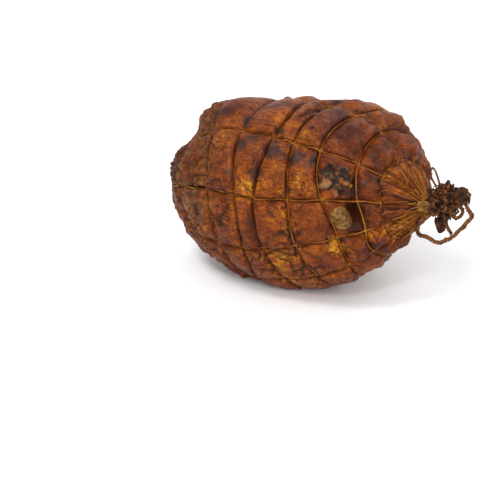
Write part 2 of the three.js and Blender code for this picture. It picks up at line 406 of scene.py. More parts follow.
@dataclass(frozen=True)
class SkinTones:
    """Where the smoke left the skin golden, ruddy or sooty."""

    middle: float = 0.365
    cell_variation: float = 0.14
    crossing: float = 0.22
    crossing_reach: float = 3.4
    regions: tuple[Region, ...] = (
        Region((2.9, 3.6, *END), (1.0, 2.6, 5.0, 6.2), 0.01),
        Region((3.2, 3.8, 5.0, 5.6), (*START, 0.8, 1.0), 0.04),
        Region((*START, 2.5, 3.0), (-0.2, 0.3, 3.5, 4.5), -0.10),
        Region((*START, 0.25, 1.15), (*START, 1.6, 2.1), 0.08),
        Region((*START, 0.25, 1.15), (6, 9, *END), 0.08),
        Region((*START, 2.0, 2.6), (2.9, 3.1, 3.0, 4.0), 0.28),
    )
    golden: tuple[Spot, ...] = (
        Spot(5.16, 1.82, 6, 0.14), Spot(3.72, 0.92, 7, 0.14), Spot(0.96, 0.6, 9, 0.1),
        Spot(3.16, 3.2, 6, 0.26), Spot(4.44, 3.2, 8, 0.18), Spot(5.4, 1.88, 6, 0.14),
        Spot(3.5, 1.72, 8, 0.08), Spot(4.6, 1.92, 7, 0.06), Spot(6.5, 1.25, 9, 0.12),
        Spot(4.4, 1.5, 6, 0.06), Spot(4.7, 3.7, 12, 0.08), Spot(6.5, 8.5, 14, 0.2),
        Spot(3.5, 9.3, 13, 0.18), Spot(5.5, 6.0, 15, 0.2), Spot(4.1, 2.35, 9, 0.14),
    )
    ruddy: tuple[Spot, ...] = (
        Spot(3.3, 0.28, 9, 0.22), Spot(2.56, 0.52, 11, 0.12), Spot(1.48, 0.52, 9, 0.1),
        Spot(4.95, 2.5, 9, 0.2), Spot(8.0, 1.5, 16, 0.12), Spot(5.5, 0.5, 8, 0.14),
        Spot(4.4, 1.5, 11, 0.08), Spot(6.5, 0.6, 13, 0.1),
        Spot(3.6, 3.5, 8, 0.12), Spot(2.1, 4.1, 12, 0.18), Spot(4.6, 7.6, 16, 0.2),
    )
    sooty: tuple[Spot, ...] = (
        Spot(4.84, 1.22, 7.5, 1.0), Spot(5.5, 1.14, 5.5, 0.75), Spot(5.85, 1.26, 6, 0.85),
        Spot(3.62, 1.26, 6.5, 0.85), Spot(3.2, 1.3, 6, 0.6), Spot(6.72, 0.78, 5.5, 0.8),
        Spot(5.96, 0.84, 6, 0.8), Spot(4.9, 0.88, 5, 0.7), Spot(6.1, 1.7, 5, 0.7),
        Spot(2.9, 1.6, 4.5, 0.9), Spot(4.4, 2.24, 3.2, 0.75), Spot(3.84, 2.68, 2.6, 0.8),
        Spot(3.95, 1.85, 3, 0.6), Spot(4.95, 1.6, 4.5, 0.65), Spot(4.08, 9.8, 7, 0.9),
        Spot(5.8, 0.05, 4, 0.9),
        Spot(2.9, 3.1, 3.4, 0.85), Spot(1.1, 2.1, 3.5, 0.5), Spot(0.5, 2.7, 5, 0.6),
        Spot(3.52, 0.72, 2.2, 0.8), Spot(6.0, 2.2, 4, 0.5), Spot(4.35, 1.25, 5, 0.6),
        Spot(0.3, 2.0, 4, 0.5), Spot(0.35, 2.5, 5, 0.8), Spot(0.7, 1.6, 3, 0.6),
        Spot(0.9, 0.9, 3, 0.6), Spot(0.6, 0.4, 4, 0.6), Spot(1.15, 1.3, 4, 0.6),
        Spot(3.4, 3.9, 4, 0.5), Spot(4.9, 4.0, 5, 0.6),
        Spot(5.0, 7.0, 8, 0.7), Spot(3.0, 8.0, 7, 0.7), Spot(7.0, 9.0, 8, 0.7),
    )


class SkinShape:
    """The finished surface of the meat: the form, the squeezed cells and every crease."""

    def __init__(self, grid: NetGrid, relief: SkinRelief, tones: SkinTones) -> None:
        """Args:
            grid: the net's grid on the meat.
            relief: the sizes of the relief.
            tones: where the skin is golden, ruddy or sooty.
        """
        self.grid = grid
        self.relief = relief
        self.tones = tones
        picks = np.random.default_rng(11)
        shape = (grid.last_row, grid.cords)
        self.gains = 1 + relief.cell_variation * picks.standard_normal(shape)
        self.tilts = picks.uniform(-1, 1, (*shape, 2))
        self.cell_tones = picks.uniform(0, 1, shape)

    def cell(self, table: np.ndarray, at: Places) -> np.ndarray:
        """Returns each place's value in a table that has one for every cell of the net."""
        i = np.clip(at.rows.astype(int), 0, self.grid.last_row - 1)
        return table[i, np.mod(at.cols.astype(int), self.grid.cords)]

    def spot(self, plain: np.ndarray, spot: Spot) -> np.ndarray:
        """Returns 1 in the middle of a spot, fading to 0 outside it."""
        middle = self.grid.plain(np.array(spot.row), np.array(spot.col))
        apart = np.linalg.norm(plain - middle, axis=-1) / spot.size
        return np.exp(-(apart**self.relief.spot_steep))

    def fold(self, plain: np.ndarray, fold: Fold) -> np.ndarray:
        """Returns 1 on a fold's line, fading to 0 beside it."""
        rows, cols = np.array(fold.places, float).T
        fine = np.linspace(0, len(rows) - 1, 12 * len(rows))
        marks = np.arange(len(rows))
        line = self.grid.plain(np.interp(fine, marks, rows), np.interp(fine, marks, cols))
        nearest = np.full(len(plain), np.inf)
        for place, share in zip(line, np.linspace(0, 1, len(line))):
            thin = 0.45 + 0.55 * math.sin(math.pi * share)
            nearest = np.minimum(nearest, np.linalg.norm(plain - place, axis=-1) / thin)
        return fade(nearest, fold.width)

    def squeezed(self, at: Places) -> np.ndarray:
        """Returns how far the squeezed meat stands out: its cells, the strings' bite and lumps."""
        relief = self.relief
        facing = relief.facing.share(at)
        press = relief.pressed.share(at) * (0.45 + 0.55 * facing)
        reach = relief.tight_reach * (1 - 0.45 * press)
        tight = (1 - np.exp(-at.hoop / reach)) * (1 - np.exp(-at.cord / reach))
        rounded = relief.round_share * (1 - 0.6 * press)
        gain = self.cell(self.gains, at) * (1 - 0.3 * press)
        gain *= 1 + relief.neck_puff * relief.neck_cells.share(at)
        lift = relief.puff * at.size * gain * (rounded * at.arch + (1 - rounded) * tight)
        tilt = self.cell(self.tilts, at)
        lean = tilt[:, 0] * (at.in_row - 0.5) + tilt[:, 1] * (at.in_col - 0.5)
        lift += at.arch * at.size * lean * relief.cell_lean
        broad = 1.1 * bumps(at.plain, 21, 1) + 0.8 * bumps(at.plain, 8.5, 5)
        lift += broad * (0.4 + 0.4 * at.size) * (0.8 + 0.3 * facing + 0.7 * relief.heel.share(at))
        bite = at.on_strings(relief.string_width * (1 - 0.2 * press))
        return lift - relief.string_bite * bite * at.size

    def above_floor(self, points: np.ndarray, at: Places) -> np.ndarray:
        """Returns the points, with those under the ham pressed flat by its own weight."""
        form = self.grid.form
        depth = form.string_room + form.groove_room * (1 - at.arch) ** 2
        floor = depth * smooth(1 - at.arch, form.groove_start, 1)
        points[:, 2] = np.maximum(points[:, 2], floor)
        return points

    def cracks(self, at: Places) -> np.ndarray:
        """Returns how deeply the skin cracks beside the strings, from 0 to 1."""
        relief = self.relief
        crack = fade(at.hoop_gap - relief.crack_place, relief.crack_width)
        crack = crack * np.clip(0.75 + 0.7 * bumps(at.plain, 9, 4), 0, 1.2)
        beside = fade(at.cord_gap - relief.cord_crack_place, relief.cord_crack_width)
        crack = crack + beside * (0.4 + bumps(at.plain, 7, 8))
        return np.clip(crack * smooth(at.size, 0.35, 0.7), 0, 1)

    @staticmethod
    def gathers(at: Places) -> np.ndarray:
        """Returns the small gathers that run out from the strings."""
        around = np.stack([0 * at.rows, at.cols * 38, at.rows * 6], -1)
        lengthwise = np.stack([at.rows * 27, at.cols * 5, 0 * at.rows], -1)
        made = bumps(around, 3.0, 2) * np.exp(-at.hoop / 6) * smooth(at.hoop, 0.4, 1.8)
        made += bumps(lengthwise, 3.2, 3) * np.exp(-at.cord / 5) * smooth(at.cord, 0.4, 1.8)
        return made

    def wrinkles(self, at: Places) -> tuple[np.ndarray, np.ndarray]:
        """Returns the rise of wrinkled, billowing and crumpled skin, and a mask of its creases for
        painted shade.
        """
        relief, plain = self.relief, at.plain
        heel, front = relief.heel.share(at), relief.front.share(at)
        veins = fade(bumps(plain, 13, 9), 0.045) * smooth(bumps(plain, 30, 10), -0.2, 0.2)
        crumple = fade(bumps(plain, 9.5, 12), 0.08)
        small = fade(bumps(plain, 5.5, 13), 0.09)
        billow, pebbles = np.abs(bumps(plain, 8.5, 33)), np.abs(bumps(plain, 4.2, 34))
        lumpy = 0.25 + 1.25 * relief.right.share(at) + 1.1 * heel
        rise = 0.75 * at.size * self.gathers(at)
        rise += 0.4 * bumps(plain, 3.6, 6) * (0.3 + 0.5 * front + 0.8 * heel)
        rise += 0.34 * bumps(plain * np.array([0.2, 1, 1]), 2.6, 7) * (0.25 + 0.75 * front)
        rise += (2.4 * (billow - 0.3) + 1.1 * (pebbles - 0.3)) * lumpy * at.size
        torn_skin = 0.85 * veins * (0.4 + front + heel) + 2.0 * crumple * heel
        torn_skin += 0.75 * small * (heel + 0.45 * front)
        # Where the skin creases, it gets painted shade.
        shaded_creases = np.maximum.reduce([
            0.85 * veins * (0.3 + front), 0.8 * crumple * heel, 0.45 * fade(billow, 0.07) * lumpy,
            0.6 * small * (heel + 0.4 * front),
        ])
        return rise - torn_skin * smooth(at.size, 0.2, 0.6), shaded_creases

    def pleats(self, at: Places) -> tuple[np.ndarray, np.ndarray]:
        """Returns the pleats that run into the tied ends, and 1 where the skin is pleated."""
        relief, grid = self.relief, self.grid
        neck = smooth(relief.pleats_at_neck - at.rows, 0, relief.pleats_at_neck)
        tail = smooth(at.rows, relief.pleats_at_heel, grid.last_row)
        turn = np.radians(np.interp(at.cols, np.arange(grid.cords + 1), grid.cord_angles))
        ripple = turn * 23 + 2.2 * np.sin(3 * turn + 1.1) + 1.4 * np.sin(at.rows * 2.4 + 5 * turn)
        ripple = ripple + 1.3 * bumps(at.plain, 9, 35)
        fine = turn * 57 + 2 * np.sin(5 * turn) + 0.8 * np.sin(at.rows * 3)
        fine = fine + 2.2 * bumps(at.plain, 6, 36)
        pleats = (np.abs(np.sin(ripple / 2)) - 0.55) + 0.45 * (np.abs(np.sin(fine / 2)) - 0.6)
        return pleats, np.maximum(neck, tail) ** 0.7

    def build(self, rows: np.ndarray, cols: np.ndarray) -> tuple[np.ndarray, dict[str, np.ndarray]]:
        """Works out the surface at places in the net.

        Args:
            rows: the places' rows.
            cols: the places' columns.

        Returns:
            Points in millimetres, and what the finish needs to know about each.
        """
        at, relief = Places(self.grid, rows, cols), self.relief
        plain = at.plain
        cracks = self.cracks(at)
        rise, wrinkles = self.wrinkles(at)
        pleats, pleated = self.pleats(at)
        neck = smooth(relief.pleats_at_neck - rows, 0, relief.pleats_at_neck)
        lift = self.squeezed(at) - relief.crack_depth * cracks + rise
        lift += relief.pleat_height * pleats * pleated * smooth(at.waist, 0.02, 0.3)
        hollow, folded = np.zeros(len(rows)), np.zeros(len(rows))
        for spot in relief.hollows:
            share = self.spot(plain, spot)
            lift += spot.much * share
            hollow += max(0, -spot.much) * share
        for fold in relief.folds:
            share = self.fold(plain, fold)
            lift -= fold.depth * share
            folded = np.maximum(folded, share * min(1.0, fold.depth / relief.dark_depth))
        torn = self.spot(plain, relief.torn)
        rags = 1.6 * np.abs(bumps(plain, 4.6, 21)) - 0.5 + 0.5 * bumps(plain, 1.9, 22)
        lift += torn * (2.5 * rags - 0.6)
        points = self.above_floor(self.grid.middle + at.ways * (at.radius + lift)[:, None], at)

        # Painted shade: the crease mask darkens the skin beside the strings, in the cracks, folds,
        # hollows and wrinkle creases, and in the pleat valleys.
        bite = at.on_strings(relief.string_shade)
        crease_shade = np.maximum.reduce([
            0.8 * bite * (1 - 0.35 * neck), cracks, 0.9 * folded, 0.6 * np.clip(hollow / 5, 0, 1),
            wrinkles, smooth(-pleats, 0, 0.45) * pleated,
        ])
        lump = self.spot(plain, relief.tan) + 0.12 * bumps(plain, 5, 31)
        facts = {
            "crease_shade": np.clip(crease_shade, 0, 1),
            # Painted highlight: the pleat ridges at the neck are made more golden.
            "amber": self.amber(at) + 0.22 * smooth(pleats, 0, 0.5) * neck,
            "soot": self.soot(at),
            "tan": smooth(lump, 0.32, 0.5),
            "torn": smooth(torn + 0.45 * bumps(plain, 4, 23), 0.25, 0.65),
            # The rags' height picks the torn patch's colour, so its low cracks get painted shade.
            "rags": np.clip(0.48 + 0.95 * rags, 0, 1),
            # Painted shade in the pit's hollow.
            "pit_shade": self.spot(plain, relief.pit_shade),
            "olive": relief.olive.share(at),
        }
        return points, facts

    def amber(self, at: Places) -> np.ndarray:
        """Returns how golden the smoke left the skin, from 0 (red brown) to 1."""
        tones = self.tones
        tone = tones.middle + tones.cell_variation * (self.cell(self.cell_tones, at) - 0.5)
        for region in tones.regions:
            tone += region.share(at)
        for spots, way in ((tones.golden, 1), (tones.ruddy, -1)):
            for spot in spots:
                tone += way * spot.much * self.spot(at.plain, spot)
        apart = np.hypot((at.rows - np.round(at.rows)) * at.along, at.cord_gap)
        return np.clip(tone + tones.crossing * fade(apart, tones.crossing_reach), 0, 1)

    def soot(self, at: Places) -> np.ndarray:
        """Returns how sooty the skin is, from 0 to 1."""
        plain = at.plain
        total = np.zeros(len(plain))
        for spot in self.tones.sooty:
            total = np.maximum(total, spot.much * self.spot(plain, spot))
        ragged = smooth(total + 0.42 * bumps(plain, 5, 14) + 0.22 * bumps(plain, 2.2, 15), 0.25, 0.85)
        beside = fade(at.hoop_gap - 1.6, 2.2) * smooth(bumps(plain, 14, 16), 0.05, 0.5)
        return np.clip(ragged + 0.55 * beside, 0, 1)

    def string_place(self, rows: np.ndarray, cols: np.ndarray, lift: float | np.ndarray) -> np.ndarray:
        """Returns points for the middle of a taut string in its groove, lifted a little."""
        at = Places(self.grid, rows, cols)
        stand = at.radius + self.squeezed(at)
        points = self.above_floor(self.grid.middle + at.ways * stand[:, None], at)
        return points + at.ways * np.broadcast_to(lift, rows.shape)[:, None]


# ---------------------------------------------------------------- meshes


def new_piece(name: str, bm: bmesh.types.BMesh, slot: Slot, nodes: tuple[str, ...]) -> bpy.types.Object:
    """Makes an object of a finished mesh, and gives it its body, slot and CAD nodes.

    Args:
        name: the piece's name.
        bm: its mesh, in metres; it is freed.
        slot: the material slot.
        nodes: the CAD nodes that it stands for.

    Returns:
        The new object.
    """
    mesh = bpy.data.meshes.new(name)
    bm.to_mesh(mesh)
    bm.free()
    mesh.shade_smooth()
    piece = bpy.data.objects.new(name, mesh)
    bpy.context.scene.collection.objects.link(piece)
    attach(piece, ROOT)
    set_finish(piece, slot.value)
    if nodes:
        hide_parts(*nodes)
    return piece


def place_verts(bm: bmesh.types.BMesh, points: np.ndarray) -> None:
    """Moves every vertex to its point, given in millimetres."""
    for vert, place in zip(bm.verts, (points * MM).tolist()):
        vert.co = place


def turn_outwards(bm: bmesh.types.BMesh) -> None:
    """Makes the faces of a closed mesh look out."""
    bmesh.ops.recalc_face_normals(bm, faces=bm.faces)
    if bm.calc_volume(signed=True) < 0:
        bmesh.ops.reverse_faces(bm, faces=bm.faces)


def reach_along(line: np.ndarray) -> np.ndarray:
    """Returns the length of a line from its start to each of its points."""
    return np.concatenate([[0], np.cumsum(np.linalg.norm(np.diff(line, axis=0), axis=1))])


def polar(radius: np.ndarray, turn: np.ndarray, along: np.ndarray) -> np.ndarray:
    """Returns points round the Z axis."""
    return np.stack([radius * np.cos(turn), radius * np.sin(turn), along], -1)


def smooth_line(through: np.ndarray, step: float, closed: bool = False) -> np.ndarray:
    """Runs an even, smooth line through points.

    Args:
        through: the points, in millimetres.
        step: the distance between the line's points.
        closed: whether it comes back to its start.

    Returns:
        The line's points; a closed line doesn't repeat its first.
    """
    if closed:
        ring = np.vstack([through[-2:], through, through[:3]])
    else:
        ring = np.vstack([2 * through[0] - through[1], through, 2 * through[-1] - through[-2]])
    spans = np.linalg.norm(np.diff(ring, axis=0), axis=1) ** 0.5
    knots = np.concatenate([[0], np.cumsum(np.maximum(spans, 1e-6))])
    first, last = (2, len(ring) - 3) if closed else (1, len(ring) - 2)
    line = []
    for i in range(first, last):
        t0, t1, t2, t3 = knots[i - 1 : i + 3]
        p0, p1, p2, p3 = ring[i - 1 : i + 3]
        for t in np.linspace(t1, t2, SPAN_POINTS, endpoint=False):
            a1 = ((t1 - t) * p0 + (t - t0) * p1) / (t1 - t0)
            a2 = ((t2 - t) * p1 + (t - t1) * p2) / (t2 - t1)
            a3 = ((t3 - t) * p2 + (t - t2) * p3) / (t3 - t2)
            b1 = ((t2 - t) * a1 + (t - t0) * a2) / (t2 - t0)
            b2 = ((t3 - t) * a2 + (t - t1) * a3) / (t3 - t1)
            line.append(((t2 - t) * b1 + (t - t1) * b2) / (t2 - t1))
    line.append(ring[last])
    line = np.array(line)
    reach = reach_along(line)
    count = max(4, int(round(reach[-1] / step)))
    marks = np.linspace(0, reach[-1], count + 1)
    even = np.stack([np.interp(marks, reach, line[:, i]) for i in range(3)], -1)
    return even[:-1] if closed else even


def frames_along(line: np.ndarray, closed: bool) -> tuple[np.ndarray, np.ndarray]:
    """Returns two directions square to a line, at each of its points, that don't spin about it."""
    if closed:
        tangents = np.roll(line, -1, 0) - np.roll(line, 1, 0)
    else:
        tangents = np.gradient(line, axis=0)
    tangents /= np.linalg.norm(tangents, axis=1)[:, None]
    side = np.cross(tangents[0], [0.31, 0.2, 0.93])
    side /= np.linalg.norm(side)
    sides = []
    for tangent in tangents:
        side = side - tangent * (side @ tangent)
        side = side / np.linalg.norm(side)
        sides.append(side)
    sides = np.array(sides)
    if closed:  # share out the turn that is left where the ends meet
        start = sides[0] - tangents[-1] * (sides[0] @ tangents[-1])
        left = math.atan2(np.cross(sides[-1], start) @ tangents[-1], sides[-1] @ start)
        turns = np.linspace(0, left, len(line))[:, None]
        sides = sides * np.cos(turns) + np.cross(tangents, sides) * np.sin(turns)
    return sides, np.cross(tangents, sides)


@dataclass(frozen=True)
class Twine:
    """String twisted from plies.

    Args:
        radius: half its thickness.
        plies: how many thinner strings are twisted together.
        lay: the length of one turn of the twist.
        sides: the sides of each ply.
        step: the distance between its rings.
        loose: how unevenly it lies.
    """

    radius: float = 0.62
    plies: int = 2
    lay: float = 4.2
    sides: int = 6
    step: float = 0.62
    loose: float = 0.12

    def lines(self, line: np.ndarray, closed: bool, seed: float) -> list[tuple[np.ndarray, float]]:
        """Returns each ply's line and radius, for a string along a line."""
        if self.plies == 1:
            return [(line, self.radius)]
        sides, ups = frames_along(line, closed)
        reach = reach_along(line)
        total = reach[-1] + (np.linalg.norm(line[0] - line[-1]) if closed else 0)
        turns = max(1, round(total / self.lay))
        ply = self.radius * (0.52 if self.plies == 2 else 0.46)
        wobble = self.loose * bumps(line, 4, seed + 50)
        made = []
        for k in range(self.plies):
            turn = 2 * math.pi * (reach / total * turns + k / self.plies) + seed
            off = (self.radius - ply) * (1 + 0.25 * bumps(line, 3, seed + k))
            out = sides * np.cos(turn)[:, None] + ups * np.sin(turn)[:, None]
            made.append((line + out * off[:, None] + ups * wobble[:, None], ply))
        return made

    def add(self, bm: bmesh.types.BMesh, line: np.ndarray, closed: bool = False, seed: float = 0,
            taper: float = 1.0) -> None:
        """Adds a string to a mesh.

        Args:
            bm: the mesh.
            line: the string's line, in millimetres.
            closed: whether it comes back to its start.
            seed: makes each string different.
            taper: its thickness at an open end, as a share of its own.
        """
        for ply_line, radius in self.lines(line, closed, seed):
            self.tube(bm, ply_line, radius, closed, taper)

    def tube(self, bm: bmesh.types.BMesh, line: np.ndarray, radius: float, closed: bool,
             taper: float) -> None:
        """Adds one ply as a closed tube, made of a grid rolled up along the line."""
        steps = len(line)
        sides, ups = frames_along(line, closed)
        grid = bmesh.ops.create_grid(
            bm, x_segments=steps if closed else steps - 1, y_segments=self.sides, size=1
        )["verts"]
        places = np.array([vert.co for vert in grid])
        columns = steps if closed else steps - 1
        i = np.round((places[:, 0] + 1) / 2 * columns).astype(int)
        j = np.round((places[:, 1] + 1) / 2 * self.sides).astype(int) % self.sides
        i = i % steps
        share = np.minimum(i, steps - 1 - i) * self.step / (4 * radius)
        thick = radius * (1 if closed else taper + (1 - taper) * np.clip(share, 0, 1))
        turn = 2 * math.pi * j / self.sides
        out = sides[i] * np.cos(turn)[:, None] + ups[i] * np.sin(turn)[:, None]
        points = line[i] + out * np.broadcast_to(thick, i.shape)[:, None]
        for vert, place in zip(grid, (points * MM).tolist()):
            vert.co = place
        bmesh.ops.remove_doubles(bm, verts=grid, dist=1e-7)


def new_strings(name: str, bm: bmesh.types.BMesh, slot: Slot = Slot.NET,
                nodes: tuple[str, ...] = ()) -> bpy.types.Object:
    """Closes the open ends of strings, turns their faces out and returns them as a piece."""
    ends = [edge for edge in bm.edges if edge.is_boundary]
    if ends:
        bmesh.ops.holes_fill(bm, edges=ends, sides=0)
    turn_outwards(bm)
    return new_piece(name, bm, slot, nodes)


# ---------------------------------------------------------------- the meat


@dataclass(frozen=True)
class HamMeat:
    """The meat with its smoked skin: one closed ball, moved onto the net's grid.

    Args:
        across: vertices from one cord to the next.
        along: vertices from one hoop to the next.
        crowding: how much closer they stand near the strings.
    """

    across: int = 39
    along: int = 25
    crowding: float = 0.5

    def crowd(self, place: np.ndarray) -> np.ndarray:
        """Returns places moved towards whole numbers, where the strings are."""
        return place - self.crowding * np.sin(2 * math.pi * place) / (2 * math.pi)

    def build(self, shape: SkinShape) -> bpy.types.Object:
        """Returns the finished piece."""
        grid = shape.grid
        rounds, rings = self.across * grid.cords, self.along * grid.last_row
        bm = bmesh.new()
        bmesh.ops.create_grid(bm, x_segments=rounds, y_segments=rings, size=1)
        flat = (np.array([vert.co for vert in bm.verts]) + 1) / 2
        rows = self.crowd(np.round(flat[:, 1] * rings) / self.along)
        cols = self.crowd(np.mod(np.round(flat[:, 0] * rounds), rounds) / self.across)
        cols = np.where((rows <= 0) | (rows >= grid.last_row), 0, cols)
        points, facts = shape.build(rows, cols)
        place_verts(bm, points)
        layers = {name: bm.verts.layers.float.new(name) for name in facts}
        for name, layer in layers.items():
            for vert, value in zip(bm.verts, facts[name].tolist()):
                vert[layer] = value
        bmesh.ops.remove_doubles(bm, verts=bm.verts, dist=1e-7)
        turn_outwards(bm)
        return new_piece("ham_skin", bm, Slot.SKIN, ("ham_meat",))


# ---------------------------------------------------------------- the net


@dataclass(frozen=True)
class StringNet:
    """The lengthwise cords, the hoops and the small knots where they cross."""

    cord: Twine = Twine(radius=0.52, lay=3.6, step=0.6)
    hoop: Twine = Twine(radius=0.46, lay=3.4, step=0.6)
    thin: Twine = Twine(radius=0.36, lay=3.0, sides=5, step=0.6)
    cord_points: int = 150
    hoop_points: int = 240
    neck_strings: int = 26
    neck_reach: tuple[float, float] = (0.8, 1.15)
    neck_lift: float = 1.2
    wrap: Twine = Twine(radius=0.24, plies=1, sides=5, step=0.5)
    wrap_lift: float = 0.7
    wrap_round: float = 0.85
    wrap_turns: float = 2.2
    wrap_reach: float = 0.05
    wrap_slant: float = 0.7
    cord_lift: float = 0.3
    hoop_lift: float = 0.22
    hop: float = 0.72
    hop_reach: float = 0.06
    neck_start: float = 0.22
    heel_stop: float = 9.7

    def cord_line(self, shape: SkinShape, col: int) -> np.ndarray:
        """Returns the line of a lengthwise cord."""
        rows = np.linspace(self.neck_start, self.heel_stop, self.cord_points)
        sway = 0.012 * np.sin(rows * 5.1 + col) * np.clip(rows, 0, 1)
        return shape.string_place(rows, col + sway, self.cord_lift)

    def hoop_line(self, shape: SkinShape, row: int) -> np.ndarray:
        """Returns the line of a hoop, which hops over each cord."""
        cols = np.linspace(0, shape.grid.cords, self.hoop_points, endpoint=False)
        beside = np.abs(cols - np.round(cols))
        lift = self.hoop_lift + self.hop * fade(beside, self.hop_reach)
        sway = 0.014 * np.sin(cols * 4.4 + 2 * row)
        return shape.string_place(row + sway, cols, lift)

    def neck_line(self, shape: SkinShape, share: float, picks: np.random.Generator) -> np.ndarray:
        """Returns the line of one more string, drawn from the first hoop into the neck."""
        rows = np.linspace(picks.uniform(*self.neck_reach), self.neck_start, 9)
        sway = picks.uniform(-0.3, 0.3) * smooth(rows, 0.3, 1.1)
        cols = shape.grid.cords * share + sway + 0.05 * picks.normal(size=len(rows))
        return shape.string_place(rows, cols, self.neck_lift)

    def wrap_lines(self, shape: SkinShape) -> list[np.ndarray]:
        """Returns two turns of thread wound round each crossing."""
        count = shape.grid.last_row - 1
        rows = np.repeat(np.arange(1, count + 1), shape.grid.cords).astype(float)
        cols = np.tile(np.arange(shape.grid.cords), count).astype(float)
        offs = (-self.wrap_reach, self.wrap_reach)
        sides = [shape.string_place(rows, cols + off, self.wrap_lift) for off in offs]
        aheads = [shape.string_place(rows + off, cols, self.wrap_lift) for off in offs]
        made = []
        for k, (left, right, back, front) in enumerate(zip(*sides, *aheads)):
            middle = (left + right + back + front) / 4
            side, ahead = (right - left), (front - back)
            side, ahead = side / np.linalg.norm(side), ahead / np.linalg.norm(ahead)
            up = np.cross(side, ahead)
            up *= math.copysign(1, up @ (middle - shape.grid.middle)) / np.linalg.norm(up)
            turn = np.linspace(0, 2 * math.pi * self.wrap_turns, 24)
            slant = (side + ahead * (-1) ** (k + k // shape.grid.cords)) * self.wrap_slant
            ring = np.cos(turn)[:, None] * np.cross(slant, up) * self.wrap_round
            ring += np.sin(turn)[:, None] * up * self.wrap_round * 0.8
            made.append(middle + ring + np.linspace(-0.5, 0.5, len(turn))[:, None] * slant)
        return made

    def build(self, shape: SkinShape) -> list[bpy.types.Object]:
        """Returns the finished pieces."""
        made = []
        for col in range(shape.grid.cords):
            bm = bmesh.new()
            line = smooth_line(self.cord_line(shape, col), self.cord.step)
            self.cord.add(bm, line, seed=col + 1)
            made.append(new_strings(f"cord_{col + 1}", bm, nodes=(f"net_cord_{col + 1}",)))
        for row in range(1, shape.grid.last_row):
            bm = bmesh.new()
            line = smooth_line(self.hoop_line(shape, row), self.hoop.step, closed=True)
            self.hoop.add(bm, line, closed=True, seed=row + 20)
            made.append(new_strings(f"hoop_{row}", bm, nodes=(f"net_hoop_{row}",)))
        bm = bmesh.new()
        for line in self.wrap_lines(shape):
            self.wrap.add(bm, line)
        made.append(new_strings("crossing_wraps", bm))
        picks = np.random.default_rng(17)
        bm = bmesh.new()
        for k in range(self.neck_strings):
            share = (k + picks.uniform(-0.3, 0.3)) / self.neck_strings % 1
            line = smooth_line(self.neck_line(shape, share, picks), self.thin.step)
            self.thin.add(bm, line, seed=k, taper=0.5)
        made.append(new_strings("neck_net_strings", bm))
        return made


# ---------------------------------------------------------------- the tied ends


